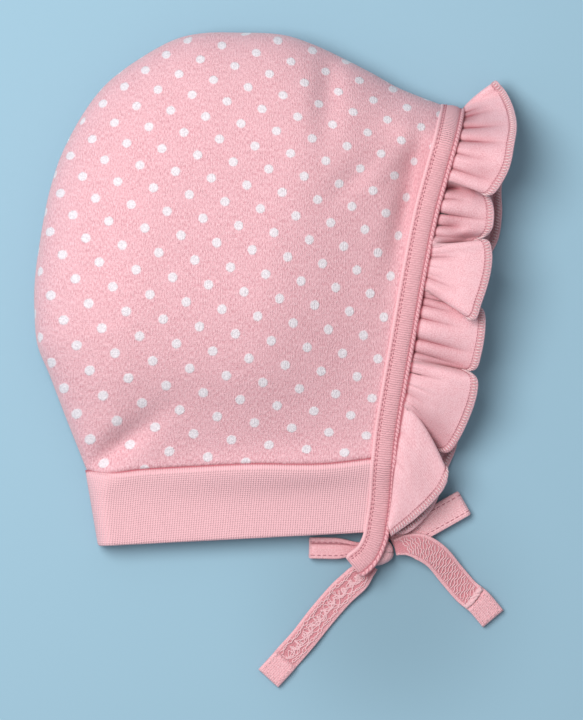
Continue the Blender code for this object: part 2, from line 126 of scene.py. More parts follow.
# View and light
VIEW_CENTRE = (5.92, 0.0)
VIEW_HEIGHT = 266.4
VIEW_DISTANCE = 3000.0
VIEW_LEVEL = 14.0
LIGHT_PLACE = (-365.0, 230.0, 920.0)
LIGHT_AIM = (0.0, 20.0, 0.0)

# Centre seam from the neck round the back and over the top.
# forward: share of the crown's length. up: share of its height.
SEAM_TABLE = (
    (0.128, 0.000), (0.079, 0.115), (0.037, 0.218), (0.007, 0.287), (0.000, 0.356),
    (0.000, 0.425), (0.010, 0.505), (0.035, 0.631), (0.072, 0.734), (0.136, 0.838),
    (0.205, 0.906), (0.322, 0.975), (0.406, 0.998), (0.505, 1.000), (0.604, 0.996),
    (0.680, 0.975), (0.760, 0.941), (0.834, 0.906), (0.901, 0.872),
)

# Middle line of the face binding from its lower end to the top.
# forward: share of the crown's length. up: share of its height.
FACE_TABLE = (
    (0.786, -0.224), (0.820, -0.196), (0.839, -0.160), (0.846, -0.126), (0.854, -0.069),
    (0.859, 0.004), (0.869, 0.092), (0.884, 0.179), (0.903, 0.280), (0.923, 0.390),
    (0.943, 0.493), (0.965, 0.592), (0.993, 0.688), (1.017, 0.769), (1.032, 0.830),
)

# Shape across the seam, a row per place along it.
# along: share of the seam, below 0 on the neck band. seam: share of the seam's height.
# upper, lower: distance over which each panel turns flat, share of the crown's height.
ROLL_TABLE = (
    (-0.20, 0.34, 0.035, 0.025),
    (0.00, 0.42, 0.060, 0.034),
    (0.06, 0.60, 0.130, 0.070),
    (0.16, 0.90, 0.230, 0.100),
    (0.30, 1.00, 0.270, 0.110),
    (0.70, 1.00, 0.270, 0.110),
    (0.86, 0.85, 0.240, 0.090),
    (0.95, 0.62, 0.200, 0.065),
    (1.00, 0.50, 0.180, 0.055),
    (1.30, 0.50, 0.180, 0.055),
)

# Height of the upper side, a row per level.
# up: share of the crown's height. middle, face: shares of the dome's height.
LEVEL_TABLE = (
    (-0.30, 0.22, 0.23),
    (-0.17, 0.24, 0.23),
    (-0.03, 0.31, 0.31),
    (0.02, 0.38, 0.36),
    (0.07, 0.46, 0.40),
    (0.13, 0.58, 0.45),
    (0.22, 0.78, 0.52),
    (0.34, 0.94, 0.61),
    (0.50, 1.00, 0.65),
    (0.70, 0.98, 0.66),
    (0.85, 0.94, 0.64),
    (1.10, 0.92, 0.62),
)
FACE_BLEND = 0.38

# How far the crown's cloth is drawn from its place in the plan, in millimetres, forwards and
# upwards. A row starts with a share of the crown's height. Its other values belong to the
# shares of the crown's length in STRETCH_PLACES.
STRETCH_PLACES = (0.10, 0.38, 0.66, 0.94)
FORWARD_STRETCH = (
    (0.00, 6.5, 1.5, -1.5, -5.0),
    (0.20, 3.5, 0.5, -0.5, -1.0),
    (0.40, 1.0, -0.5, 0.0, 1.5),
    (0.60, -0.5, -0.5, 0.0, 2.0),
    (0.75, -1.5, -0.5, 0.0, 2.0),
    (0.88, -3.5, -0.5, 1.0, 3.5),
    (0.98, -4.5, -0.5, 1.0, 5.0),
)
UPWARD_STRETCH = (
    (0.00, 4.0, 2.0, -0.5, -6.0),
    (0.20, 1.0, 1.0, 0.5, -2.0),
    (0.40, -0.5, 0.0, -0.5, -2.0),
    (0.60, -0.5, -1.0, -1.0, -1.5),
    (0.75, 1.5, -0.5, 0.0, 1.5),
    (0.88, 6.0, 1.0, 3.0, 7.5),
    (0.98, 9.0, 3.5, 6.0, 15.0),
)

# The neck seam's sag: share of its length from the back, and millimetres upwards.
NECK_SAG = (
    (0.00, 0.0), (0.04, -1.0), (0.19, -0.3), (0.40, 0.0),
    (0.56, 0.05), (0.86, -1.15), (1.00, 0.0),
)

# Dents and ridges pressed into the upper side, a row each.
# forward, up: shares of the crown's length and height. turn: degrees from forwards.
# length, width: shares of the crown's height. rise: share of the dome's height.
DENT_TABLE = (
    (0.725, 0.900, 85, 0.120, 0.034, -0.130),
    (0.955, 0.765, 150, 0.085, 0.042, 0.120),
    (0.780, 0.665, 40, 0.070, 0.028, -0.040),
    (0.926, 0.650, 78, 0.175, 0.030, -0.150),
    (0.890, 0.672, 55, 0.050, 0.025, -0.040),
    (0.975, 0.840, 110, 0.080, 0.055, 0.190),
    (0.185, 0.045, 38, 0.120, 0.030, -0.140),
    (0.620, 0.000, 3, 0.260, 0.040, 0.070),
)

# Painted shade along the crown's furrow beside the binding, with the same columns.
# The last one is how dark it is there.
FURROW_SHADE = (0.962, 0.680, 78, 0.150, 0.024, 0.24)

# Folds of the ruffle's upper half, a row each, from the top down.
# along: share of the run from the lower end. slide, reach: where the edge goes, along and
# away from the binding, shares of the ruffle's width. lift: share of the fold lift.
# bend: how late a fold slides, 1 for a straight one.
UPPER_FOLDS = (
    (1.000, 0.56, 0.37, 0.3, 0.75),
    (0.996, 0.44, 0.55, -0.2, 1.0),
    (0.974, 0.35, 0.71, -0.5, 1.0),
    (0.953, 0.25, 0.80, 0.0, 1.0),
    (0.925, 0.17, 0.82, 0.3, 1.0),
    (0.896, 0.04, 0.84, 0.3, 1.0),
    (0.865, -0.04, 0.79, 0.15, 1.0),
    (0.838, -0.06, 0.69, 0.0, 1.3),
    (0.832, 0.01, 0.47, -0.8, 1.0),
    (0.811, 0.17, 0.59, -1.2, 1.0),
    (0.787, 0.12, 0.75, -0.6, 1.0),
    (0.762, 0.08, 0.82, -0.4, 1.0),
    (0.725, 0.10, 0.83, -0.6, 1.0),
    (0.694, 0.11, 0.71, -1.0, 1.0),
    (0.682, -0.02, 0.45, -1.5, 1.0),
    (0.667, 0.27, 0.79, -0.1, 1.0),
    (0.653, 0.22, 0.90, 0.0, 1.0),
    (0.636, 0.08, 0.94, 0.2, 1.0),
    (0.617, -0.08, 0.93, 0.3, 1.0),
    (0.598, -0.23, 0.89, 0.4, 1.0),
    (0.579, -0.38, 0.83, 0.4, 1.0),
    (0.572, -0.19, 0.61, -0.8, 1.0),
    (0.564, -0.11, 0.89, -1.1, 1.0),
    (0.545, -0.08, 0.98, -0.8, 1.0),
    (0.503, -0.08, 1.02, -0.3, 1.0),
    (0.455, -0.09, 1.02, -0.3, 1.0),
    (0.424, -0.10, 0.98, -0.6, 1.0),
    (0.403, -0.01, 0.77, -1.2, 1.0),
    (0.394, -0.05, 1.01, -0.1, 1.0),
    (0.370, -0.09, 1.06, 0.0, 1.0),
    (0.346, -0.26, 1.03, -0.3, 1.0),
    (0.322, -0.53, 0.92, -0.8, 1.0),
    (0.308, -0.68, 0.79, -1.1, 1.0),
    (0.299, -0.65, 0.59, -1.5, 1.0),
    (0.292, -0.93, 0.82, -0.5, 1.5),
    (0.236, -0.80, 0.78, -0.5, 1.0),
    (0.176, -0.70, 0.58, -0.3, 1.0),
    (0.116, -0.57, 0.34, -0.2, 1.0),
    (0.059, -0.36, 0.14, 0.0, 1.0),
    (0.014, -0.17, 0.01, 0.0, 1.0),
)

# Folds of the ruffle's lower half, which lies on the ground, from the top down.
LOWER_FOLDS = (
    (0.970, 0.40, 0.58, 0.0, 1.0),
    (0.920, 0.20, 0.80, 0.4, 1.0),
    (0.860, 0.00, 0.82, 0.1, 1.0),
    (0.790, 0.02, 0.94, 0.5, 1.0),
    (0.720, 0.02, 0.98, 0.1, 1.0),
    (0.650, 0.00, 0.86, 0.5, 1.0),
    (0.570, -0.05, 0.84, 0.1, 1.0),
    (0.490, -0.10, 0.88, 0.5, 1.0),
    (0.410, -0.10, 0.84, 0.1, 1.0),
    (0.330, -0.15, 0.88, 0.5, 1.0),
    (0.250, -0.20, 0.90, 0.1, 1.0),
    (0.205, -0.36, 0.78, 0.4, 1.0),
    (0.160, -0.56, 0.66, 0.8, 1.0),
    (0.110, -0.54, 0.47, 0.95, 1.0),
    (0.062, -0.42, 0.27, 0.95, 1.0),
    (0.022, -0.20, 0.10, 0.5, 1.0),
)

# Gathers of the ruffle at the binding, a row each.
# along: share of the run from the lower end. depth: millimetres at the binding.
# fade: share of the ruffle's width that the crease runs.
# Each gather also paints shade along its crease
GATHERS = (
    (0.990, 3.0, 0.60), (0.978, 3.6, 0.80), (0.970, 2.2, 0.40), (0.953, 3.8, 1.00),
    (0.925, 4.3, 1.00), (0.897, 2.9, 0.73), (0.862, 3.4, 0.90), (0.809, 3.4, 0.65),
    (0.787, 3.0, 0.57), (0.752, 5.1, 1.00), (0.722, 3.4, 0.57), (0.696, 3.2, 0.73),
    (0.646, 2.5, 0.57), (0.600, 2.6, 0.65), (0.552, 3.8, 0.81), (0.533, 3.0, 0.65),
    (0.503, 3.4, 0.73), (0.455, 4.7, 0.97), (0.424, 4.3, 0.97), (0.375, 2.6, 0.57),
    (0.330, 1.8, 0.48), (0.240, 1.6, 0.40), (0.170, 1.2, 0.40),
)
GATHER_WIDTH = 0.0062
PUCKER_COUNT = 74

# Hollows between the ruffle's folds: the middle along the run and across the width,
# how far it reaches both ways, and its depth in millimetres.
# Each hollow is also painted darker by its depth: painted shade
HOLLOWS = (
    (0.872, 0.66, 0.022, 0.28, 1.2),
    (0.818, 0.20, 0.015, 0.26, 5.0),
    (0.727, 0.30, 0.014, 0.22, 2.2),
    (0.700, 0.72, 0.010, 0.22, 3.0),
    (0.570, 0.25, 0.012, 0.30, 2.2),
    (0.404, 0.20, 0.012, 0.25, 1.5),
)

# Straps from the knot outwards, a row per place along the middle line.
# forward, up: shares of the tail's reach. height: share of the crossing height.
# width, thick: shares of the strap's width and of the way to the hem's thickness.
LEFT_TAIL_TABLE = (
    (-0.075, -0.108, 0.62, 0.75, 0.0),
    (-0.150, -0.192, 0.46, 1.00, 0.0),
    (-0.255, -0.290, 0.20, 1.00, 0.0),
    (-0.385, -0.440, 0.10, 1.00, 0.0),
    (-0.505, -0.592, 0.22, 0.98, 0.0),
    (-0.605, -0.705, 0.06, 1.00, 0.0),
    (-0.650, -0.758, 0.04, 1.00, 1.0),
    (-0.742, -0.858, 0.00, 1.00, 1.0),
)
RIGHT_TAIL_TABLE = (
    (0.120, 0.030, 1.00, 0.60, 0.0),
    (0.200, 0.045, 1.00, 0.80, 0.0),
    (0.290, 0.030, 0.95, 1.00, 0.0),
    (0.395, -0.035, 0.72, 1.00, 0.0),
    (0.495, -0.155, 0.30, 1.00, 0.0),
    (0.590, -0.265, 0.14, 1.00, 0.0),
    (0.650, -0.315, 0.28, 1.00, 0.0),
    (0.690, -0.350, 0.20, 1.00, 1.0),
    (0.778, -0.455, 0.00, 1.00, 1.0),
)

# Section of the binding, a lip, a needle groove, the puffed middle, a groove and a lip.
# across: share of the width. rise: share of the thickness.
BINDING_SECTION = (
    (-0.50, 0.00), (-0.49, 0.16), (-0.47, 0.28), (-0.43, 0.37), (-0.38, 0.34),
    (-0.34, 0.22), (-0.305, 0.33), (-0.27, 0.27), (-0.23, 0.38), (-0.13, 0.45),
    (-0.03, 0.50), (0.07, 0.50), (0.17, 0.45), (0.25, 0.35), (0.31, 0.18),
    (0.35, 0.34), (0.40, 0.42), (0.45, 0.38), (0.48, 0.24), (0.50, 0.00),
    (0.48, -0.30), (0.38, -0.46), (0.20, -0.50), (-0.20, -0.50), (-0.38, -0.46),
    (-0.48, -0.30),
)

# Needle grooves of the binding, a row each.
# across: the groove's place in the section. dark: how dark its painted shade is, from 0 to 1.
# stitch, lean: length of a stitch, and how far it leans to the side, in millimetres.
GROOVES = (
    (-0.34, 0.28, 1.19, 0.14),
    (-0.27, 0.22, 0.85, 0.14),
    (0.31, 0.85, 1.02, 0.10),
)

# Outline of the knot from the side, shares of its width and height.
KNOT_SECTION = (
    (0.20, 0.01), (0.60, 0.02), (0.86, 0.08), (0.98, 0.22), (1.00, 0.45),
    (0.97, 0.66), (0.86, 0.84), (0.62, 0.96), (0.30, 1.00),
)

# Curves


def smooth(share):
    """A soft step from 0 to 1."""
    share = np.clip(share, 0.0, 1.0)
    return share * share * (3.0 - 2.0 * share)


def turned(vectors):
    """Plan vectors turned a quarter to the right."""
    return np.column_stack([vectors[:, 1], -vectors[:, 0]])


def unit(vectors):
    length = np.linalg.norm(vectors, axis=-1, keepdims=True)
    return vectors / np.maximum(length, 1e-9)


def curve_through(rows, steps):
    """A smooth curve through the rows of a table, with this many steps to each row."""
    rows = np.asarray(rows, float)
    padded = np.vstack([2 * rows[0] - rows[1], rows, 2 * rows[-1] - rows[-2]])
    share = np.arange(steps)[:, None] / steps
    spans = []
    for before, start, end, after in zip(padded, padded[1:], padded[2:], padded[3:]):
        slope = end - before
        bend = 2 * before - 5 * start + 4 * end - after
        turn = 3 * start - before - 3 * end + after
        spans.append(start + (slope * share + bend * share**2 + turn * share**3) / 2)
    return np.vstack([*spans, rows[-1:]])


def lengths_along(curve):
    steps = np.linalg.norm(np.diff(curve, axis=0), axis=1)
    return np.concatenate([[0.0], np.cumsum(steps)])


def points_at(curve, lengths):
    """Points of a curve at these lengths along it."""
    along = lengths_along(curve)
    return np.column_stack([np.interp(lengths, along, column) for column in curve.T])


def read_smoothly(table, places):
    """Every column of a table but its first, on a smooth curve through its rows."""
    table = np.asarray(table, float)
    start, values = table[:, 0], table[:, 1:]
    slopes = np.gradient(values, start, axis=0)
    row = np.clip(np.searchsorted(start, places) - 1, 0, len(table) - 2)
    span = (start[row + 1] - start[row])[:, None]
    share = np.clip((places - start[row])[:, None] / span, 0.0, 1.0)
    low, high = values[row], values[row + 1]
    ease = smooth(share)
    leave = share * (1.0 - share) ** 2 * span * slopes[row]
    arrive = share**2 * (1.0 - share) * span * slopes[row + 1]
    return (low + (high - low) * ease + leave - arrive).T


def on_crown(rows):
    """Plan points from shares of the crown's length and height."""
    rows = np.asarray(rows, float)
    return rows * (CROWN_LENGTH, CROWN_HEIGHT) + (CROWN_BACK, NECK_LEVEL)


FACE_LINE = curve_through(on_crown(FACE_TABLE), 8)[::-1]
FACE_LENGTH = lengths_along(FACE_LINE)[-1]
RUFFLE_RUN = FACE_LENGTH - FAR_BINDING_SHORTER


def face_points(lengths):
    """Plan points of the face line this far from its top, and its directions up and outwards."""
    step = BINDING_WIDTH / 8
    reach = np.clip(lengths, step, FACE_LENGTH - step)
    above = points_at(FACE_LINE, reach - step)
    below = points_at(FACE_LINE, reach + step)
    up = unit(above - below)
    return points_at(FACE_LINE, lengths), up, turned(up)


def face_edge(lengths, away):
    """Plan points this far to the right of the face line."""
    middle, _, outwards = face_points(lengths)
    return middle + outwards * away


CROWN_AWAY = -(BINDING_WIDTH / 2 + GAP)
TOP_CORNER = face_edge(np.zeros(1), CROWN_AWAY)
SEAM_LINE = curve_through(np.vstack([on_crown(SEAM_TABLE), TOP_CORNER]), 4)
SEAM_LENGTH = lengths_along(SEAM_LINE)[-1]
BAND_FOOT = SEAM_LINE[0] + (BAND_BACK_SLANT, -BAND_DEPTH)


def outline():
    """The folded edge in plan: the band's back, the seam, and the top of the face opening."""
    below = SEAM_LINE[:1] + (BAND_FOOT - SEAM_LINE[0]) * 3
    beyond = face_edge(np.zeros(1), RUFFLE_WIDTH * 2)
    return np.vstack([below, SEAM_LINE, beyond])


OUTLINE = outline()
OUTLINE_START = np.linalg.norm(OUTLINE[1] - OUTLINE[0])


def seam_distance(plan):
    """Distance of plan points from the folded edge, and the share of the seam beside them."""
    step = np.diff(OUTLINE, axis=0)
    from_start = plan[:, None, :] - OUTLINE[:-1]
    share = np.clip((from_start * step).sum(axis=2) / (step**2).sum(axis=1), 0.0, 1.0)
    away = np.linalg.norm(from_start - share[..., None] * step, axis=2)
    row = away.argmin(axis=1)
    pick = np.arange(len(plan))
    along = lengths_along(OUTLINE)[row] + share[pick, row] * np.linalg.norm(step[row], axis=1)
    return away[pick, row], (along - OUTLINE_START) / SEAM_LENGTH


# Heights of the two sides


def rounded(share):
    """A quarter circle: straight up at 0 and level from 1 on."""
    return np.sqrt(1.0 - (1.0 - np.clip(share, 0.0, 1.0)) ** 2)


def dent(plan, row):
    """What one row of the dent table adds at plan points."""
    forward, up, turn, length, width, rise = row
    away = plan - on_crown([(forward, up)])
    angle = np.radians(turn)
    along = away @ (np.cos(angle), np.sin(angle)) / (length * CROWN_HEIGHT)
    across = away @ (-np.sin(angle), np.cos(angle)) / (width * CROWN_HEIGHT)
    return rise * np.exp(-(along**2) - across**2)


def dents(plan):
    """Height that the dents and ridges add at plan points."""
    return DOME_HEIGHT * sum(dent(plan, row) for row in DENT_TABLE)


def crest_height(plan):
    """Height of the upper side away from its edges."""
    level = (plan[:, 1] - NECK_LEVEL) / CROWN_HEIGHT
    middle, face = read_smoothly(LEVEL_TABLE, level)
    order = np.argsort(FACE_LINE[:, 1])
    face_forward = np.interp(plan[:, 1], FACE_LINE[order, 1], FACE_LINE[order, 0])
    reach = FACE_BLEND * CROWN_LENGTH
    blend = smooth((plan[:, 0] - face_forward + reach) / reach)
    return DOME_HEIGHT * (middle + (face - middle) * blend) + dents(plan)


def upper_height(plan):
    """Middle height of the upper side's cloth."""
    away, along = seam_distance(plan)
    seam, roll, _ = read_smoothly(ROLL_TABLE, along)
    foot = seam * SEAM_HEIGHT
    return foot + (crest_height(plan) - foot) * rounded(away / (roll * CROWN_HEIGHT))


def lower_height(plan, thickness):
    """Middle height of the lower side's cloth, which rests on the ground."""
    away, along = seam_distance(plan)
    seam, _, roll = read_smoothly(ROLL_TABLE, along)
    ground = thickness / 2
    return ground + (seam * SEAM_HEIGHT - ground) * (1.0 - rounded(away / (roll * CROWN_HEIGHT)))


def neck_length():
    """Length along the face line from its top to the neck seam."""
    front = NECK_LEVEL + BAND_FRONT_RISE
    crown_side = face_edge(lengths_along(FACE_LINE), CROWN_AWAY)
    order = np.argsort(crown_side[:, 1])
    return np.interp(front, crown_side[order, 1], lengths_along(FACE_LINE)[order])


NECK_LENGTH = neck_length()
NECK_FRONT = face_edge(np.array([NECK_LENGTH]), CROWN_AWAY)[0]


# Meshes


def grid_faces(rows, columns):
    index = np.arange(rows * columns).reshape(rows, columns)
    corners = [index[:-1, :-1], index[:-1, 1:], index[1:, 1:], index[1:, :-1]]
    return np.stack(corners, axis=-1).reshape(-1, 4)


def grid_border(rows, columns):
    """The point numbers round a grid's edge, in order."""
    index = np.arange(rows * columns).reshape(rows, columns)
    return np.concatenate([index[0, :-1], index[:-1, -1], index[-1, :0:-1], index[:0:-1, 0]])


def normals_of(grid):
    return unit(np.cross(np.gradient(grid, axis=1), np.gradient(grid, axis=0)))


def mesh_piece(name, points, faces, material, flat):
    mesh = bpy.data.meshes.new(name)
    mesh.from_pydata((points * MM).tolist(), [], [list(map(int, face)) for face in faces])
    mesh.polygons.foreach_set("use_smooth", [True] * len(mesh.polygons))
    places = mesh.attributes.new("flat", "FLOAT_VECTOR", "POINT")
    places.data.foreach_set("vector", flat.ravel())
    mesh.materials.append(material)
    piece = bpy.data.objects.new(name, mesh)
    bpy.context.scene.collection.objects.link(piece)
    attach(piece, "root")
    return piece


def cloth_piece(name, grid, thickness, flat, material, deep=0.0):
    """A closed thin sheet about a grid of middle points.

    flat holds two lengths in the cloth, and deep how far each place is painted darker, from 0 to 1:
    painted shade in folds, creases, grooves and seams, and a darker tone on the bow's tails.
    """
    rows, columns = grid.shape[:2]
    half = np.broadcast_to(thickness, (rows, columns))[..., None] / 2
    offset = normals_of(grid) * half
    points = np.concatenate([(grid + offset).reshape(-1, 3), (grid - offset).reshape(-1, 3)])
    front = grid_faces(rows, columns)
    count = rows * columns
    border = grid_border(rows, columns)
    after = np.roll(border, -1)
    rim = np.column_stack([after, border, border + count, after + count])
    faces = np.concatenate([front, front[:, ::-1] + count, rim])
    depth = np.broadcast_to(deep, (rows, columns))[..., None]
    places = np.concatenate([flat, depth], axis=-1).reshape(-1, 3)
    return mesh_piece(name, points, faces, material, np.concatenate([places, places]))


def arc_lengths(grid, axis):
    steps = np.linalg.norm(np.diff(grid, axis=axis), axis=-1)
    lengths = np.cumsum(steps, axis=axis)
    pad = [(0, 0), (0, 0)]
    pad[axis] = (1, 0)
    return np.pad(lengths, pad)


def thread_rings(path, radius, sides):
    """Rings of points round a path, for a thread of this radius."""
    way = unit(np.gradient(path, axis=0))
    aside = unit(np.cross(way, (0.13, 0.27, 0.95)))
    above = np.cross(aside, way)
    turn = np.arange(sides) * 2 * np.pi / sides
    spread = aside[:, None] * np.cos(turn)[:, None] + above[:, None] * np.sin(turn)[:, None]
    return path[:, None] + spread * np.broadcast_to(radius, len(path))[:, None, None]


def tube_faces(count, sides, start=0):
    """Faces round a row of rings, with a cap at both ends."""
    index = np.arange(count * sides).reshape(count, sides) + start
    beside = np.roll(index, -1, axis=1)
    walls = np.stack([index[:-1], beside[:-1], beside[1:], index[1:]], axis=-1).reshape(-1, 4)
    return [*walls.tolist(), index[0, ::-1].tolist(), index[-1].tolist()]


def thread_piece(name, paths, radius, material, sides=5):
    """Many threads as one piece. Each narrows to its ends and has its own start in the twist."""
    points, faces, flat = [], [], []
    turn = np.arange(sides) * 2 * np.pi / sides
    for number, path in enumerate(paths):
        lengths = lengths_along(path)
        share = np.linspace(0.0, 1.0, len(path))
        end = np.minimum(share, 1.0 - share) * lengths[-1] / (radius * 2)
        rings = thread_rings(path, radius * (0.3 + 0.7 * rounded(end)), sides)
        places = np.zeros((len(path), sides, 3))
        places[..., 0] = turn * radius
        places[..., 1] = (lengths + number * THREAD_SHIFT)[:, None]
        faces += tube_faces(len(path), sides, sum(map(len, points)))
        points.append(rings.reshape(-1, 3))
        flat.append(places.reshape(-1, 3))
    return mesh_piece(name, np.concatenate(points), faces, material, np.concatenate(flat))


def ring_piece(name, rings, flat, material):
    """A closed form through rings of points, capped at both ends."""
    faces = tube_faces(*rings.shape[:2])
    return mesh_piece(name, rings.reshape(-1, 3), faces, material, flat.reshape(-1, 3))


def sample(grid, row, column):
    """Points of a grid at fractional rows and columns."""
    row = np.clip(row, 0, grid.shape[0] - 1.001)
    column = np.clip(column, 0, grid.shape[1] - 1.001)
    low_row, low_column = row.astype(int), column.astype(int)
    down, across = (row - low_row)[:, None], (column - low_column)[:, None]
    first = grid[low_row, low_column] * (1 - across) + grid[low_row, low_column + 1] * across
    second = grid[low_row + 1, low_column] * (1 - across) + grid[low_row + 1, low_column + 1] * across
    return first * (1 - down) + second * down


# Materials


def colour_sockets(sockets):
    return [socket for socket in sockets if socket.type == "RGBA"]


class Recipe:
    """Builds the nodes of one cloth material, from the flat places in the cloth."""

    def __init__(self, name, roughness, sheen):
        self.material = bpy.data.materials.new(name)
        self.material.use_nodes = True
        self.tree = self.material.node_tree
        self.shader = self.tree.nodes["Principled BSDF"]
        self.shader.inputs["Roughness"].default_value = roughness
        self.shader.inputs["Sheen Weight"].default_value = sheen
        self.shader.inputs["Sheen Roughness"].default_value = 0.45
        self.shader.inputs["Specular IOR Level"].default_value = 0.2
        attribute = self.tree.nodes.new("ShaderNodeAttribute")
        attribute.attribute_name = "flat"
        self.flat = attribute.outputs["Vector"]
        # The third value of flat, deep, is how far the cloth is painted darker: mostly painted shade
        apart = self.tree.nodes.new("ShaderNodeSeparateXYZ")
        self.link(self.flat, apart.inputs[0])
        self.across, self.along, self.deep = apart.outputs

    def link(self, value, socket):
        if isinstance(value, bpy.types.NodeSocket):
            self.tree.links.new(value, socket)
        else:
            socket.default_value = value

    def math(self, operation, *values):
        node = self.tree.nodes.new("ShaderNodeMath")
        node.operation = operation
        for value, socket in zip(values, node.inputs):
            self.link(value, socket)
        return node.outputs[0]

    def vector(self, operation, *values):
        node = self.tree.nodes.new("ShaderNodeVectorMath")
        node.operation = operation
        for value, socket in zip(values, node.inputs):
            self.link(value, socket)
        return node.outputs["Value" if operation in ("DOT_PRODUCT", "LENGTH") else "Vector"]

    def ramp(self, value, low, high, start=0.0, end=1.0):
        """start below low, end above high, and a smooth step between."""
        node = self.tree.nodes.new("ShaderNodeMapRange")
        node.interpolation_type = "SMOOTHSTEP"
        settings = {"Value": value, "From Min": low, "From Max": high, "To Min": start, "To Max": end}
        for name, setting in settings.items():
            self.link(setting, node.inputs[name])
        return node.outputs["Result"]

    def wave(self, place, pitch, shift=0.0):
        """A ripple from -1 to 1 with this pitch."""
        turn = self.math("MULTIPLY", place, 2 * np.pi / pitch)
        return self.math("SINE", self.math("ADD", turn, shift))

    def noise(self, size, stretch=(1.0, 1.0, 0.0), detail=2.0):
        """Soft noise from 0 to 1 with grains of about this size."""
        node = self.tree.nodes.new("ShaderNodeTexNoise")
        self.link(self.vector("MULTIPLY", self.flat, stretch), node.inputs["Vector"])
        node.inputs["Scale"].default_value = 1.0 / size
        node.inputs["Detail"].default_value = detail
        return node.outputs["Fac"]

    def mix(self, share, first, second):
        """A colour between two others."""
        node = self.tree.nodes.new("ShaderNodeMix")
        node.data_type = "RGBA"
        self.link(share, node.inputs["Factor"])
        for colour, socket in zip((first, second), colour_sockets(node.inputs)):
            self.link((*colour, 1.0) if isinstance(colour, tuple) else colour, socket)
        return colour_sockets(node.outputs)[0]

    def finish(self, colour, height, depth, crease=SHADE_AND_TONE_PINK):
        """Sets the colour, mixed with the crease colour by deep (painted shade in folds, creases and
        seams, and a darker tone on the bow's tails), and a bump.

        The bump is this many millimetres deep where the height goes from 0 to 1.
        """
        if crease:
            colour = self.mix(self.deep, colour, crease)
        self.link(colour, self.shader.inputs["Base Color"])
        bump = self.tree.nodes.new("ShaderNodeBump")
        bump.inputs["Distance"].default_value = depth * MM
        self.link(height, bump.inputs["Height"])
        self.link(bump.outputs["Normal"], self.shader.inputs["Normal"])
        return self.material


def stocking(recipe, wale, course):
    """Height of a plain knit: columns of slanted stitches, with these two pitches."""
    column = recipe.math("PINGPONG", recipe.across, wale / 2)
    slant = recipe.math("MULTIPLY", column, 2 * np.pi * 1.1 / course)
    stitch = recipe.wave(recipe.along, course, slant)
    ridge = recipe.wave(recipe.across, wale)
    return recipe.math("MULTIPLY_ADD", recipe.math("ADD", stitch, ridge), 0.25, 0.5)


def dot_distance(recipe):
    """Distance from the middle of the nearest printed dot, a little ragged."""
    (ax, ay), (bx, by) = DOT_STEP_A, DOT_STEP_B
    area = ax * by - ay * bx
    place = recipe.vector("SUBTRACT", recipe.flat, (*DOT_PLACE, 0.0))
    steps = []
    for step_way in ((by / area, -bx / area, 0.0), (-ay / area, ax / area, 0.0)):
        step = recipe.vector("DOT_PRODUCT", place, step_way)
        steps.append(recipe.math("SUBTRACT", step, recipe.math("ROUND", step)))
    squares = []
    for first, second in ((ax, bx), (ay, by)):
        aside = recipe.math("MULTIPLY", steps[1], second)
        aside = recipe.math("MULTIPLY_ADD", steps[0], first, aside)
        squares.append(recipe.math("MULTIPLY", aside, aside))
    away = recipe.math("SQRT", recipe.math("ADD", *squares))
    ragged = recipe.math("MULTIPLY_ADD", recipe.noise(0.7), 0.7, -0.35)
    return recipe.math("ADD", away, ragged)


def dotted_jersey():
    recipe = Recipe("dotted jersey", 0.9, 0.28)
    knit = stocking(recipe, 0.92, 0.74)
    streaks = recipe.noise(0.8, (1.8, 0.6, 0.0))
    grain = recipe.noise(0.4, (1.4, 0.8, 0.0), 1.0)
    specks = recipe.noise(0.55, (1.0, 1.0, 0.0), 0.0)
    cloud = recipe.noise(9.0)
    height = recipe.math("MULTIPLY_ADD", knit, 0.22, streaks)
    height = recipe.math("MULTIPLY_ADD", grain, 0.9, height)
    pink = recipe.mix(recipe.ramp(streaks, 0.3, 0.7), (0.68, 0.321, 0.367), (0.88, 0.533, 0.578))
    pink = recipe.mix(recipe.ramp(cloud, 0.3, 0.7, 0.0, 0.3), pink, (0.84, 0.486, 0.536))
    pink = recipe.mix(recipe.ramp(specks, 0.5, 0.75, 0.0, 0.35), pink, (0.93, 0.642, 0.693))
    inside = recipe.ramp(dot_distance(recipe), DOT_RADIUS - 0.35, DOT_RADIUS + 0.25, 1.0, 0.0)
    faded = recipe.ramp(recipe.noise(0.8), 0.35, 0.65)
    white = recipe.mix(faded, (0.74, 0.693, 0.735), (0.88, 0.828, 0.871))
    colour = recipe.mix(recipe.math("MULTIPLY", inside, 0.92), pink, white)
    height = recipe.math("MULTIPLY_ADD", inside, 0.35, height)
    return recipe.finish(colour, height, 0.35)


def rib_knit():
    recipe = Recipe("rib knit", 0.9, 0.2)
    columns = recipe.wave(recipe.across, 0.9, recipe.math("MULTIPLY", recipe.noise(6.0), 2.0))
    courses = recipe.wave(recipe.along, 0.84, recipe.math("MULTIPLY", recipe.noise(5.0), 2.0))
    soft = recipe.math("MULTIPLY_ADD", courses, 0.3, 0.7)
    stitches = recipe.math("MULTIPLY", recipe.math("MULTIPLY_ADD", columns, 0.5, 0.5), soft)
    grain = recipe.noise(0.6)
    # Painted shade: darker between the rib columns and the courses
    pink = recipe.mix(stitches, (0.82, 0.44, 0.485), (0.94, 0.595, 0.63))
    pink = recipe.mix(recipe.math("MULTIPLY", grain, 0.5), pink, (0.87, 0.51, 0.55))
    return recipe.finish(pink, recipe.math("MULTIPLY_ADD", grain, 0.5, stitches), 0.3)


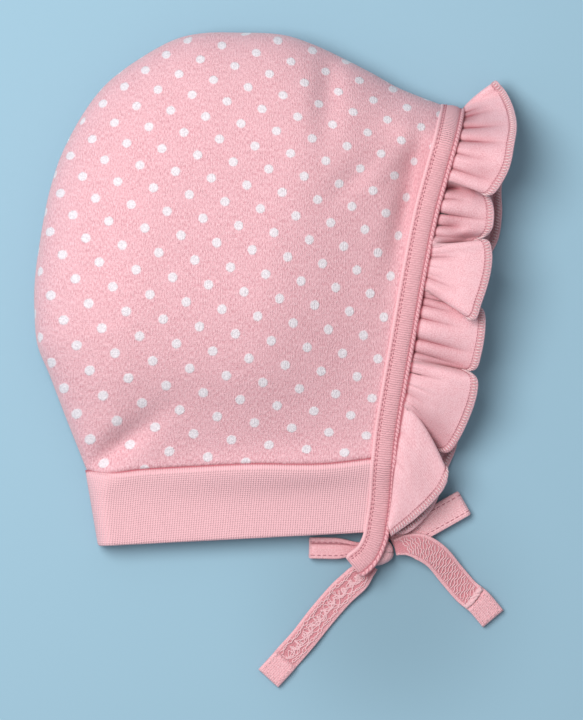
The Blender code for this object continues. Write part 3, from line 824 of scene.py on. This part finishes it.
def binding_jersey():
    recipe = Recipe("binding jersey", 0.88, 0.2)
    wobble = recipe.math("MULTIPLY", recipe.noise(2.2), 3.4)
    courses = recipe.wave(recipe.along, 0.86, wobble)
    grain = recipe.noise(0.45)
    from_middle = recipe.math("ABSOLUTE", recipe.math("SUBTRACT", recipe.across, 0.25))
    middle = recipe.ramp(from_middle, 2.1, 2.9, 1.0, 0.2)
    height = recipe.math("MULTIPLY", recipe.math("MULTIPLY", courses, middle), 0.4)
    height = recipe.math("MULTIPLY_ADD", grain, 1.1, height)
    # Painted shade: the courses are darker between their ridges
    light = recipe.math("MULTIPLY_ADD", courses, 0.3, 0.5)
    pink = recipe.mix(light, (0.69, 0.31, 0.35), (0.94, 0.54, 0.58))
    pink = recipe.mix(recipe.math("MULTIPLY", grain, 0.35), pink, (0.76, 0.39, 0.43))
    # Painted highlight: the raised left lip is lighter
    left_lip = recipe.ramp(recipe.across, -4.2, -3.3, 0.6, 0.0)
    pink = recipe.mix(left_lip, pink, (0.93, 0.56, 0.60))
    slant = recipe.math("MULTIPLY_ADD", recipe.across, 0.9, recipe.along)
    marks = recipe.ramp(recipe.wave(slant, 1.7), 0.1, 0.9)
    on_lip = recipe.ramp(recipe.across, 3.1, 3.4, 0.0, 0.75)
    pink = recipe.mix(recipe.math("MULTIPLY", marks, on_lip), pink, (0.52, 0.16, 0.20))
    return recipe.finish(pink, height, 0.3)


def ruffle_jersey():
    recipe = Recipe("ruffle jersey", 0.88, 0.28)
    knit = stocking(recipe, 0.7, 0.6)
    grain = recipe.noise(0.5)
    cloud = recipe.noise(3.0)
    height = recipe.math("MULTIPLY_ADD", grain, 0.8, recipe.math("MULTIPLY", knit, 0.35))
    pink = recipe.mix(recipe.ramp(grain, 0.3, 0.7), (0.79, 0.40, 0.445), (0.95, 0.59, 0.635))
    pink = recipe.mix(recipe.ramp(cloud, 0.35, 0.65, 0.0, 0.3), pink, (0.92, 0.60, 0.65))
    return recipe.finish(pink, height, 0.25, CREASE_SHADE_PINK)


def strap_jersey():
    recipe = Recipe("strap jersey", 0.9, 0.25)
    knit = stocking(recipe, 0.8, 0.7)
    grain = recipe.noise(0.6)
    height = recipe.math("MULTIPLY_ADD", grain, 1.0, recipe.math("MULTIPLY", knit, 0.5))
    pink = recipe.mix(recipe.ramp(grain, 0.3, 0.7), (0.88, 0.45, 0.49), (0.98, 0.60, 0.64))
    return recipe.finish(pink, height, 0.35)


def thread_material(name, colour):
    recipe = Recipe(name, 0.7, 0.3)
    slant = recipe.math("MULTIPLY_ADD", recipe.across, 2.4, recipe.along)
    twist = recipe.math("MULTIPLY_ADD", recipe.wave(slant, 0.8), 0.3, recipe.noise(0.9))
    shade = tuple(part * 0.75 for part in colour)
    return recipe.finish(recipe.mix(twist, shade, colour), twist, 0.06, crease=None)


# Cloth pieces


def spaced(count, near, share):
    """Places from 0 to 1. This share of them is squeezed into the part up to near."""
    step = np.linspace(0.0, 1.0, count)
    squeezed = near * (step / share) ** 2
    rest = near + (step - share) * (1 - near) / (1 - share)
    return np.where(step < share, squeezed, rest)


def sagged(plan):
    """Plan points near the neck seam, moved with its sag."""
    share = (plan[:, 0] - SEAM_LINE[0, 0]) / (NECK_FRONT[0] - SEAM_LINE[0, 0])
    drop = read_smoothly(NECK_SAG, np.clip(share, 0.0, 1.0))[0]
    fade = 1.0 - smooth(np.abs(neck_distance(plan)) / NECK_SAG_REACH)
    return plan + np.column_stack([np.zeros(len(plan)), drop * fade])


def neck_distance(plan):
    """Distance of plan points above the neck seam."""
    way = unit(NECK_FRONT - SEAM_LINE[0])
    return (plan - SEAM_LINE[0]) @ (-way[1], way[0])


def crown_grid(height_of, rows, columns, lift):
    """A crown panel, rows from the neck to the top, columns from the seam to the binding.

    Its edge at the centre seam is lifted by this much, which parts the two panels.
    """
    close = 0.014
    share = np.concatenate([np.linspace(0.0, close, 9)[:-1], np.linspace(close, 1.0, rows)])
    seam = points_at(SEAM_LINE, share * SEAM_LENGTH)
    lengths = NECK_LENGTH * (1.0 - share)
    face = face_edge(lengths, CROWN_TUCK - BINDING_WIDTH / 2)
    ring = face_points(lengths)[0]
    across = spaced(columns, 0.1, 0.22)[:, None]
    fade = smooth((across[:, 0] - 0.6) / 0.4)
    grid = []
    for start, end, middle in zip(seam, face, ring):
        plan = start + (end - start) * across
        if lift > 0:
            plan = sagged(plan)
        height = height_of(plan)
        height = height + (height_of(middle[None])[0] - height[-1]) * fade
        height += lift * (1.0 - smooth(across[:, 0] / 0.01))
        grid.append(np.column_stack([plan, height]))
    return np.array(grid)


def stretch(plan):
    """How far each place of the crown's cloth is drawn forwards and upwards."""
    share = (plan.reshape(-1, 2) - (CROWN_BACK, NECK_LEVEL)) / (CROWN_LENGTH, CROWN_HEIGHT)
    weights = []
    for place in STRETCH_PLACES:
        others = np.array([other for other in STRETCH_PLACES if other != place])
        weights.append(((share[:, :1] - others) / (place - others)).prod(axis=1))
    moves = []
    for table in (FORWARD_STRETCH, UPWARD_STRETCH):
        moves.append((weights * read_smoothly(table, share[:, 1])).sum(axis=0))
    return np.stack(moves, axis=-1).reshape(plan.shape)


def crown_flat(grid):
    """Places in the cloth: the plan, stretched outwards where the cloth turns down."""
    plan = grid[..., :2]
    planned = arc_lengths(plan, 1)
    excess = arc_lengths(grid, 1) - planned
    near = np.array([np.interp(SEAM_MARGIN, *columns) for columns in zip(planned, excess)])
    spare = np.clip(near[:, None] - excess, 0.0, None)
    outwards = unit(plan[:, :1] - plan[:, 3:4] + 1e-9)
    return plan + stretch(plan) + outwards * spare[..., None]


def add_crown(material):
    upper = crown_grid(upper_height, rows=190, columns=140, lift=0.5)
    flat = crown_flat(upper)
    roll = 1.0 - rounded(arc_lengths(upper, 0) / NECK_ROLL_WIDTH)
    upper[..., 2] -= roll * NECK_ROLL
    # Painted shade: darker where the crown rolls down at the neck seam and along its furrow beside the
    # binding
    furrow = dent(upper[..., :2].reshape(-1, 2), FURROW_SHADE).reshape(roll.shape)
    deep = np.maximum(0.8 * smooth(roll), furrow)
    upper, flat, deep = upper[:, ::-1], flat[:, ::-1], deep[:, ::-1]
    top = cloth_piece("crown_cloth_upper", upper, JERSEY_THICKNESS, flat, material, deep)
    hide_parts("crown_upper")
    lower = crown_grid(
        lambda plan: lower_height(plan, JERSEY_THICKNESS), rows=70, columns=50, lift=-0.5
    )
    bottom = cloth_piece("crown_cloth_lower", lower, JERSEY_THICKNESS, crown_flat(lower), material)
    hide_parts("crown_lower")


def band_side(height_of, shorter, columns, rows):
    """Rows of one side of the neck band, from the crown down, columns from its back."""
    foot_length = np.array([NECK_LENGTH + BAND_DEPTH])
    foot_end = face_edge(foot_length, CROWN_AWAY)[0]
    reach = face_edge(foot_length, CROWN_TUCK - BINDING_WIDTH / 2)[0] - foot_end
    share = spaced(columns, 0.06, 0.2)[:, None]
    top = SEAM_LINE[0] + (NECK_FRONT + reach - SEAM_LINE[0]) * share
    foot = BAND_FOOT + (foot_end + reach - BAND_FOOT) * share
    short = shorter * smooth(share / 0.1)
    close = 0.08
    rest = 1.0 - (1.0 - close) * spaced(rows, 0.06, 0.3)[::-1]
    grid = []
    for down in np.concatenate([np.linspace(0.0, close, 7)[:-1], rest]):
        drop = (BAND_DEPTH - GAP - short) / BAND_DEPTH * down
        plan = top + (foot - top) * drop
        height = height_of(plan)
        if not shorter:
            plan = sagged(plan)
            height -= NECK_ROLL * (1.0 - smooth(down * BAND_DEPTH / BAND_ROLL_WIDTH))
        grid.append(np.column_stack([plan, height]))
    return np.array(grid)


def add_band(material):
    columns, rows = 90, 24
    upper = band_side(upper_height, 0.0, columns, rows)
    lower = band_side(lambda plan: lower_height(plan, BAND_THICKNESS), FAR_BAND_SHORTER, columns, rows)
    grid = np.concatenate([upper[:, ::-1], lower[:, 1:]], axis=1)
    lengths, depth = arc_lengths(grid, 1), arc_lengths(grid, 0)
    to_foot = depth[-1:] - depth
    thickness = BAND_THICKNESS * (0.1 + 0.9 * rounded(to_foot / 1.3))
    flat = np.stack([lengths, depth], axis=-1)
    # Painted shade along the band's top, under the crown's edge
    deep = 1.0 - smooth((depth - 1.1) / 0.7)
    grid, thickness, flat, deep = grid[::-1], thickness[::-1], flat[::-1], deep[::-1]
    band = cloth_piece("neck_band_rib", grid, thickness, flat, material, deep)
    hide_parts("neck_band")


def ring_height(lengths, upper):
    """Height of the binding's middle on the upper or the lower side."""
    plan = face_points(lengths)[0]
    if upper:
        proud = BINDING_PROUD * smooth(lengths / BINDING_WIDTH)
        return upper_height(plan) + proud
    return lower_height(plan, BINDING_THICKNESS)


def binding_rings():
    """Rings of the binding from its end on the upper side, over the top, to its other end."""
    upper = FACE_LENGTH * spaced(170, 0.08, 0.2)
    lower = (FACE_LENGTH - FAR_BINDING_SHORTER) * spaced(90, 0.08, 0.3)
    lengths = np.concatenate([upper[::-1], lower[1:]])
    height = np.concatenate([ring_height(upper[::-1], True), ring_height(lower[1:], False)])
    plan, _, outwards = face_points(lengths)
    middles = np.column_stack([plan, height])
    sides = np.column_stack([outwards, np.zeros(len(plan))])
    ups = unit(np.cross(sides, unit(np.gradient(middles, axis=0))))
    along = lengths_along(middles)
    end = np.minimum(along, along[-1] - along)
    thin = 0.25 + 0.75 * rounded(end / 1.6)
    narrow = (0.84 + 0.16 * rounded(end / 1.8)) * (1.0 + 0.12 * (1.0 - smooth(along / 13.0)))
    section = np.array(BINDING_SECTION)
    offsets = sides[:, None] * section[:, :1] * BINDING_WIDTH * narrow[:, None, None]
    rises = ups[:, None] * section[:, 1:] * BINDING_THICKNESS * thin[:, None, None]
    flat = np.zeros((len(along), len(section), 3))
    flat[..., 0] = section[:, 0] * BINDING_WIDTH
    flat[..., 1] = along[:, None]
    # Painted shade in the needle grooves and on the outer lip
    for groove, dark, _, _ in GROOVES:
        flat[:, section[:, 0] == groove, 2] = dark
    flat[:, section[:, 0] > LIP_START, 2] = LIP_SHADE
    return middles[:, None] + offsets + rises, flat, along, ups


def groove_stitches(rings, along, ups, groove, length, lean):
    """Stitches that lie in one needle groove of the binding, leaning to both sides in turn."""
    column = [row[0] for row in BINDING_SECTION].index(groove)
    places = np.arange(1.5, along[-1] - 1.5, length + STITCH_SPACE)
    line = rings[:, column] + ups * (THREAD_RADIUS * 0.9)
    aside = unit(rings[:, column + 1] - rings[:, column - 1])
    paths = []
    for number, place in enumerate(places):
        rows = np.interp(np.linspace(place, place + length, 5), along, np.arange(len(along)))
        share = np.linspace(-1.0, 1.0, 5)[:, None]
        to_side = points_at_rows(aside, rows) * lean * (-1) ** number * share
        rise = points_at_rows(ups, rows) * 0.16 * (1.0 - share**2)
        paths.append(points_at_rows(line, rows) + to_side + rise)
    return paths


def points_at_rows(rows, places):
    """Points between the rows of a table, at fractional row numbers."""
    return np.column_stack([np.interp(places, np.arange(len(rows)), column) for column in rows.T])


def add_binding(material, thread):
    rings, flat, along, ups = binding_rings()
    binding = ring_piece("face_binding_tape", rings, flat, material)
    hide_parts("face_binding")
    paths = []
    for groove, _, stitch, lean in GROOVES:
        paths += groove_stitches(rings, along, ups, groove, stitch, lean)
    stitches = thread_piece("face_binding_stitches", paths, THREAD_RADIUS * 1.1, thread)


# Places across the ruffle, closer at its foot and at its hem
RUFFLE_SHARES = np.concatenate([
    [0.0, 0.025, 0.04, 0.052, 0.066, 0.085],
    np.linspace(0.112, 0.86, 21)[:-1],
    np.linspace(0.86, 0.975, 6)[:-1],
    [0.975, 0.985, 0.993, 0.998, 1.0],
])


def gather_depth(along, share):
    """How far the gathers press the ruffle down, and how dark the painted shade between them is."""
    total, line = np.zeros(len(share)), np.zeros(len(share))
    for place, depth, fade in GATHERS:
        width = GATHER_WIDTH * (1.25 + 1.5 * share)
        near = np.exp(-np.abs(along - place) / width)
        left = np.clip(1.0 - share / fade, 0.0, 1.0)
        total += depth * near * left
        line += 0.17 * depth * near**3 * left**1.4
    place = np.clip(along, 0.0, 1.0) * PUCKER_COUNT
    left = np.clip(1.0 - share / (0.34 + 0.2 * np.sin(place * 0.31)), 0.0, 1.0)
    for turn in (1.0, 0.618):
        wave = np.abs(np.sin(np.pi * place * turn + 1.3 * np.sin(place * 0.47 + turn)))
        total += 0.45 * (1.0 - wave) ** 3 * left
    dark = line + 0.11 * total**1.3
    for place, middle, length, width, depth in HOLLOWS:
        near = np.exp(-(((along - place) / length) ** 2) - ((share - middle) / width) ** 2)
        total += depth * near
        dark += depth * near * 0.15
    # Painted shade in a thin line along the binding
    dark += 0.85 * (1.0 - smooth((share - 0.045) / 0.03))
    return total, np.clip(dark, 0.0, 0.9)


def ruffle_side(folds, upper):
    """Rows of one half of the ruffle, each from the binding to the outer edge."""
    share = RUFFLE_SHARES[:, None]
    rows, deep = [], []
    for along, slide, reach, lift, bend in folds:
        # Painted shade under the folds that turn down beneath others
        dark = 0.40 * smooth((-lift - 0.5) / 0.7) * smooth(share[:, 0] / 0.3)
        length = np.array([(1.0 - along) * RUFFLE_RUN])
        root, up, outwards = face_points(length)
        root = root + outwards * (BINDING_WIDTH / 2 - RUFFLE_TUCK)
        foot = ring_height(length, upper)[0]
        if not upper:
            drop = (BINDING_THICKNESS - JERSEY_THICKNESS) / 2
            foot = max(foot - drop, (JERSEY_THICKNESS + HEM_SWELL) / 2)
        aside = up * slide * share**bend + outwards * reach * share
        plan = root + RUFFLE_WIDTH * aside + outwards * 1.1 * share
        height = foot + lift * FOLD_LIFT * smooth(share[:, 0] * 1.1)
        if upper:
            bulge = share[:, 0] ** 0.6
            swell = RUFFLE_SWELL * bulge * (1.0 - bulge)
            pressed, gather_shade = gather_depth(along, share[:, 0])
            height = height + swell - pressed
            dark = np.maximum(dark, gather_shade)
        else:
            # Painted shade on the lower half, under the upper one
            dark = dark + 0.25 * smooth(along / 0.25)
        rows.append(np.column_stack([plan, height]))
        deep.append(dark)
    return rows, deep


def add_ruffle(material, hem_thread, needle_thread):
    upper = curve_through(UPPER_FOLDS, 9)
    lower = curve_through((UPPER_FOLDS[0], *LOWER_FOLDS), 8)[1:]
    near_rows, near_shade = ruffle_side(upper[::-1], True)
    far_rows, far_shade = ruffle_side(lower, False)
    grid, deep = np.array(near_rows + far_rows), np.array(near_shade + far_shade)
    along, across = arc_lengths(grid, 0), arc_lengths(grid, 1)
    to_edge = across[:, -1:] - across
    hem = smooth((HEM_WIDTH - to_edge) / 0.8) * HEM_SWELL
    thickness = (JERSEY_THICKNESS + hem) * (0.12 + 0.88 * rounded(to_edge / 0.8))
    flat = np.stack([np.broadcast_to(along[:, -6:-5], along.shape), across], axis=-1)
    # Painted shade on the hem under the overlock bars
    under_bars = smooth((HEM_WIDTH + 0.5 - to_edge) / 0.3) * smooth((to_edge - 0.9) / 0.4)
    deep = np.maximum(deep, 0.42 * under_bars)
    ruffle = cloth_piece("face_ruffle_cloth", grid, thickness, flat, material, deep)
    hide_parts("face_ruffle")
    bars, dots = ladder(grid, thickness, to_edge)
    stitches = thread_piece("face_ruffle_hem_stitches", bars, THREAD_RADIUS * 1.5, hem_thread, 4)
    needle = thread_piece("face_ruffle_needle_line", dots, THREAD_RADIUS * 0.9, needle_thread, 4)


def ladder(grid, thickness, to_edge):
    """Bars of overlock thread over the hem, and the needle's stitches at their inner ends."""
    normals = normals_of(grid)
    normals = normals * np.where(normals[..., 2:] < 0.0, -1.0, 1.0)
    top = grid + normals * (thickness[..., None] / 2 + THREAD_RADIUS * 0.5)
    columns = np.arange(grid.shape[1])
    inner = np.array([np.interp(-HEM_WIDTH, -row, columns) for row in to_edge])
    outer = np.array([np.interp(-0.7, -row, columns) for row in to_edge])
    rows = np.arange(len(grid), dtype=float)
    line = sample(top, rows, (inner + outer) / 2)
    along = lengths_along(line)
    places = np.interp(np.arange(0.6, along[-1], LADDER_PITCH), along, rows)
    paths, dots = [], []
    for place in places:
        share = np.linspace(0.0, 1.0, 4)
        start, end = np.interp(place, rows, inner), np.interp(place, rows, outer)
        paths.append(sample(top, place + share * 0.25, start + (end - start) * share))
        steps = place + np.linspace(0.0, 0.35, 3) * (places[1] - places[0])
        dots.append(sample(top, steps, np.full(3, start - 0.7)))
    return paths, dots


# Straps


def knot_centre():
    """Plan point under the binding's lower end, where the bow is tied."""
    return face_edge(np.array([FACE_LENGTH - KNOT_FROM_END]), KNOT_ASIDE)[0]


def knot_side(way):
    """Distance from the knot's centre to just clear of its side, in this direction."""
    across = np.hypot(way[0] / KNOT_LENGTH, way[1] / KNOT_WIDTH)
    return 0.5 / across + GAP


# Places across a strap, closer at its edges
HALF_STRAP = (0.0, 0.20, 0.40, 0.58, 0.72, 0.82, 0.90, 0.95, 0.985, 1.0)
STRAP_SHARES = np.array([-share for share in HALF_STRAP[:0:-1]] + list(HALF_STRAP)) / 2


class Strap:
    """A strap in its place: a grid of middle points, its thickness and the lengths along it."""

    def __init__(self, middles, sides, widths, thickness):
        self.lengths = lengths_along(middles)
        self.grid = middles[:, None] + sides[:, None] * STRAP_SHARES[:, None] * widths[:, None, None]
        to_edge = (0.5 - np.abs(STRAP_SHARES)) * STRAP_WIDTH
        to_end = np.minimum(self.lengths, self.lengths[-1] - self.lengths)
        edges = 0.15 + 0.85 * rounded(to_edge / 0.9)
        ends = 0.2 + 0.8 * rounded(to_end / 0.8)
        self.thickness = thickness * edges * ends[:, None]

    def on_top(self, places, shares, rise=0.6):
        """Points on the strap, at lengths along it and shares across it.

        They lie above the cloth by this share of a thread's radius.
        """
        above = self.thickness[..., None] / 2 + THREAD_RADIUS * rise
        rows = np.interp(places, self.lengths, np.arange(len(self.lengths)))
        columns = np.interp(shares, STRAP_SHARES, np.arange(len(STRAP_SHARES)))
        return sample(self.grid + normals_of(self.grid) * above, rows, columns)


def tail_strap(table):
    """A loose end of the tie, how much darker its cloth is, and the length at which its hem starts."""
    rows = curve_through(table, 14)
    away = rows[:, :2] * TAIL_REACH
    way = unit(away[4])
    away[0] = way * knot_side(way)
    plan = knot_centre() + away
    hem = smooth(rows[:, 4])
    thickness = STRAP_THICKNESS + (HEM_THICKNESS - STRAP_THICKNESS) * hem
    free = np.clip(rows[:, 2], 0.0, 1.0) * (CROSSING_HEIGHT - STRAP_THICKNESS / 2)
    middles = np.column_stack([plan, free + thickness / 2])
    sides = np.column_stack([turned(unit(np.gradient(plan, axis=0))), np.zeros(len(plan))])
    widths = STRAP_WIDTH * np.clip(rows[:, 3], 0.0, 1.0)
    from_hem = 1.0 - hem[:, None]
    hollow = 1.0 - 0.22 * smooth((0.30 - np.abs(STRAP_SHARES)) / 0.08) * from_hem
    strap = Strap(middles, sides, widths, thickness[:, None] * hollow)
    # A darker tone outside the hem, most away from the edges
    zone = smooth((0.42 - np.abs(STRAP_SHARES)) / 0.08)
    deep = 0.12 + from_hem * (0.48 * zone + 0.04)
    return strap, deep, np.interp(0.5, hem, strap.lengths)


def add_strap(name, node, strap, deep, material):
    flat = np.stack([arc_lengths(strap.grid, 1), arc_lengths(strap.grid, 0)], axis=-1)
    cloth = cloth_piece(name, strap.grid, strap.thickness, flat, material, deep)
    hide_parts(node)
    return cloth


def add_strap_threads(name, paths, radius, material, sides=5):
    threads = thread_piece(name, paths, radius, material, sides)
    return threads


def wavy_loopers(strap, start, end):
    """Threads on the wrong side of a strap: four wavy chains and five looping ones."""
    places = np.arange(start, end, 0.28)
    moves = []
    for middle, shift in ((-0.33, 0.0), (0.33, 1.4), (-0.28, 3.1), (0.28, 4.5)):
        wander = 0.025 * np.sin(places * 0.71 + shift * 2) + 0.02 * np.sin(places * 1.37 + shift)
        wave = 0.026 * np.sin(places * 2.6 + shift + 1.5 * np.sin(places * 0.53))
        moves.append((0.35 * np.sin(places * 3.1 + shift * 3), middle + wander + wave))
    for shift in (0.0, 1.1, 2.3, 3.9, 5.2):
        turn = places * 2.1 + shift + 1.8 * np.sin(places * 0.37 + shift)
        turn += 1.1 * np.sin(places * 0.91)
        size = 0.6 + 0.4 * np.sin(places * 0.59 + shift * 2)
        wave = 0.08 * np.sin(places * 0.43 + shift * 3) + 0.17 * size * np.sin(turn)
        moves.append((1.3 * size * np.cos(turn) + 0.5 * np.sin(places * 1.9 + shift), wave))
    return [strap.on_top(np.clip(places + slide, start, end), wave) for slide, wave in moves]


def slanted_loopers(strap, start, end):
    """Threads on the wrong side of a strap, in rows that slant across it."""
    share = np.linspace(0.0, 1.0, 22)
    paths = []
    for first in np.arange(start, end - 3.0, 1.15):
        wave = HEM_LINE * (2.0 * share - 1.0) + 0.03 * np.sin(share * 24 + first)
        slide = first + 3.4 * share + 0.3 * np.sin(share * 15 + first * 2)
        paths.append(strap.on_top(np.clip(slide, start, end), wave))
    return paths


def hem_stitches(strap, hem_start):
    """Stitches round the folded hem of a strap."""
    end = strap.lengths[-1]
    paths = []
    for share in (-HEM_LINE, HEM_LINE):
        for place in np.arange(hem_start + 0.4, end - 2.2, 1.9):
            paths.append(strap.on_top(np.linspace(place, place + 1.2, 4), np.full(4, share)))
    for place in (hem_start + 0.5, end - 1.4):
        for share in np.arange(-HEM_LINE, 0.30, 0.17):
            paths.append(strap.on_top(np.full(4, place), np.linspace(share, share + 0.11, 4)))
    return paths


def raw_edge(strap, place):
    """Loops of thread that stand up along the raw edge of a strap's hem."""
    share = np.linspace(0.0, 1.0, 60)
    paths = []
    for turn in range(5):
        across = -0.44 + 0.88 * share + 0.035 * np.sin(share * 47 + turn * 1.9)
        along = place + 0.55 * np.sin(share * 31 + turn * 1.6) + 0.12 * turn
        path = strap.on_top(along, across)
        path[:, 2] += 0.5 + 0.45 * np.sin(share * 39 + turn * 2.3)
        paths.append(path)
    return paths


def add_tail(name, node, table, material, thread, rough):
    """A loose end of the tie. A rough one has slanted looper threads and a raw edge."""
    strap, deep, hem_start = tail_strap(table)
    loopers = slanted_loopers if rough else wavy_loopers
    paths = loopers(strap, strap.lengths[6], hem_start - 0.6)
    threads = [add_strap_threads(name + "_threads", paths, THREAD_RADIUS * 1.25, thread)]
    paths = hem_stitches(strap, hem_start)
    threads.append(add_strap_threads(name + "_hem_threads", paths, THREAD_RADIUS * 1.1, thread))
    if rough:
        paths = raw_edge(strap, hem_start - 1.6)
        threads.append(add_strap_threads(name + "_raw_edge", paths, RAW_EDGE_RADIUS, thread, 6))
    cloth = add_strap(name + "_strap", node, strap, deep, material)


def loop_strap(angle, reach, crease):
    """A bow loop, out along the ground, round its end and back, and how dark its painted shade is.

    A crease presses a furrow of this depth along the upper layer and draws the strap in.
    """
    way = np.array([np.cos(np.radians(angle)), np.sin(np.radians(angle))])
    start = knot_side(way)
    run = np.linspace(start, reach - LOOP_BEND, 30)
    turn = np.radians(np.linspace(-90, 90, 17)[1:-1])
    distance = np.concatenate([run, reach - LOOP_BEND + LOOP_BEND * np.cos(turn), run[::-1]])
    rise = np.concatenate([np.full(len(run), -1.0), np.sin(turn), np.full(len(run), 1.0)])
    plan = knot_centre() + distance[:, None] * way + (0.0, STRAP_WIDTH * 0.09 * crease)
    middles = np.column_stack([plan, STRAP_THICKNESS / 2 + LOOP_BEND * (1.0 + rise)])
    sides = np.repeat([[-way[1], way[0], 0.0]], len(middles), axis=0)
    near = 1.0 - smooth((distance - start) / STRAP_WIDTH)
    widths = STRAP_WIDTH * (1.0 - 0.4 * near) * (1.0 - 0.2 * crease)
    strap = Strap(middles, sides, widths, STRAP_THICKNESS)
    over = smooth(rise)[:, None]
    furrow = over * np.exp(-(((STRAP_SHARES + 0.22) / 0.07) ** 2))
    strap.grid[..., 2] -= crease * furrow
    # Painted shade in the crease, on the upper layer towards the knot, and slightly all over
    deep = crease * np.clip(0.85 * furrow + 0.3 * over * near[:, None] + 0.16, 0.0, 0.9)
    return strap, deep


def add_loop(name, node, angle, reach, crease, material, thread):
    strap, deep = loop_strap(angle, reach, crease)
    cloth = add_strap(name + "_strap", node, strap, deep, material)
    end = strap.lengths[-1]
    paths = []
    for share in (-LOOP_LINE, LOOP_LINE):
        for place in np.arange(end * 0.47, end - 1.5, 2.1):
            steps = np.linspace(place, place + 1.4, 5)
            paths.append(strap.on_top(steps, np.full(5, share), rise=0.5))
    threads = add_strap_threads(name + "_threads", paths, THREAD_RADIUS, thread)


def add_knot(material):
    """The pulled-tight knot: a low lump wrapped by the strap."""
    turn = np.arange(48) * 2 * np.pi / 48
    rings, flat = [], []
    for width, height in curve_through(KNOT_SECTION, 4):
        wraps = 1.0 - 0.05 * np.abs(np.sin(turn * 2.5 + height * 2.2))
        ring = np.column_stack([np.cos(turn) * KNOT_LENGTH, np.sin(turn) * KNOT_WIDTH]) / 2
        plan = ring * (width * wraps)[:, None] + knot_centre()
        level = np.full(len(turn), height * KNOT_HEIGHT)
        rings.append(np.column_stack([plan, level]))
        flat.append(np.column_stack([turn * KNOT_LENGTH / 2, level, np.full(len(turn), 0.05)]))
    knot = ring_piece("tie_knot_wrap", np.array(rings), np.array(flat), material)
    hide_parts("tie_knot")


# Floor, light and camera


def add_floor():
    """The ground, with a painted shadow under the bow."""
    material = bpy.data.materials.new("floor")
    material.use_nodes = True
    tree = material.node_tree
    shader = tree.nodes["Principled BSDF"]
    shader.inputs["Roughness"].default_value = 0.95
    shader.inputs["Specular IOR Level"].default_value = 0.1
    noise = tree.nodes.new("ShaderNodeTexNoise")
    noise.inputs["Scale"].default_value = 3.0
    mix = tree.nodes.new("ShaderNodeMix")
    mix.data_type = "RGBA"
    first, second = colour_sockets(mix.inputs)
    first.default_value = (0.305, 0.477, 0.588, 1.0)
    second.default_value = (0.315, 0.487, 0.598, 1.0)
    tree.links.new(noise.outputs["Fac"], mix.inputs["Factor"])
    # Painted shadow: darker within 75 mm of a point under the bow
    place = tree.nodes.new("ShaderNodeTexCoord")
    away = tree.nodes.new("ShaderNodeVectorMath")
    away.operation = "DISTANCE"
    away.inputs[1].default_value = (0.044, -0.092, 0.0)
    tree.links.new(place.outputs["Object"], away.inputs[0])
    shade = tree.nodes.new("ShaderNodeMapRange")
    shade.interpolation_type = "SMOOTHERSTEP"
    for name, value in (("From Min", 0.0), ("From Max", 0.075), ("To Min", 0.8), ("To Max", 1.0)):
        shade.inputs[name].default_value = value
    tree.links.new(away.outputs["Value"], shade.inputs["Value"])
    dim = tree.nodes.new("ShaderNodeVectorMath")
    dim.operation = "SCALE"
    tree.links.new(colour_sockets(mix.outputs)[0], dim.inputs[0])
    tree.links.new(shade.outputs["Result"], dim.inputs["Scale"])
    tree.links.new(dim.outputs["Vector"], shader.inputs["Base Color"])
    bpy.ops.mesh.primitive_plane_add(size=12.0)
    floor = bpy.context.object
    floor.name = "floor"
    floor.data.materials.append(material)


def add_light():
    lamp = bpy.data.lights.new("key", "AREA")
    lamp.shape = "DISK"
    lamp.size = 0.75
    lamp.energy = 10.5
    lamp.color = (1.0, 0.985, 0.965)
    key = bpy.data.objects.new("key", lamp)
    bpy.context.scene.collection.objects.link(key)
    key.location = Vector(LIGHT_PLACE) * MM
    aim = Vector(LIGHT_AIM) * MM - key.location
    key.rotation_mode = "QUATERNION"
    key.rotation_quaternion = aim.to_track_quat("-Z", "Y")
    world = bpy.data.worlds.new("studio")
    world.use_nodes = True
    background = world.node_tree.nodes["Background"]
    background.inputs["Color"].default_value = (0.92, 0.96, 1.0, 1.0)
    background.inputs["Strength"].default_value = 0.40
    bpy.context.scene.world = world


def add_camera():
    data = bpy.data.cameras.new("camera")
    camera = bpy.data.objects.new("camera", data)
    bpy.context.scene.collection.objects.link(camera)
    data.sensor_width = 36.0
    data.lens = 36.0 * VIEW_DISTANCE / VIEW_HEIGHT
    data.clip_end = 50.0
    camera.location = (VIEW_CENTRE[0] * MM, VIEW_CENTRE[1] * MM, (VIEW_DISTANCE + VIEW_LEVEL) * MM)
    bpy.context.scene.camera = camera


light_thread = thread_material("light thread", (0.97, 0.70, 0.73))
looper_thread = thread_material("looper thread", (0.95, 0.58, 0.62))
deep_thread = thread_material("deep thread", (0.60, 0.22, 0.27))
strap_cloth = strap_jersey()
add_crown(dotted_jersey())
add_band(rib_knit())
add_binding(binding_jersey(), deep_thread)
add_ruffle(ruffle_jersey(), light_thread, deep_thread)
add_knot(strap_cloth)
add_tail("tail_left", "tie_tail_left", LEFT_TAIL_TABLE, strap_cloth, looper_thread, False)
add_tail("tail_right", "tie_tail_right", RIGHT_TAIL_TABLE, strap_cloth, looper_thread, True)
add_loop("loop_left", "bow_loop_left", LEFT_LOOP_ANGLE, LEFT_LOOP_REACH, 1.0, strap_cloth, deep_thread)
add_loop("loop_right", "bow_loop_right", RIGHT_LOOP_ANGLE, RIGHT_LOOP_REACH, 0.0, strap_cloth, deep_thread)
add_floor()
add_light()
add_camera()
bpy.context.scene.view_settings.view_transform = "Standard"
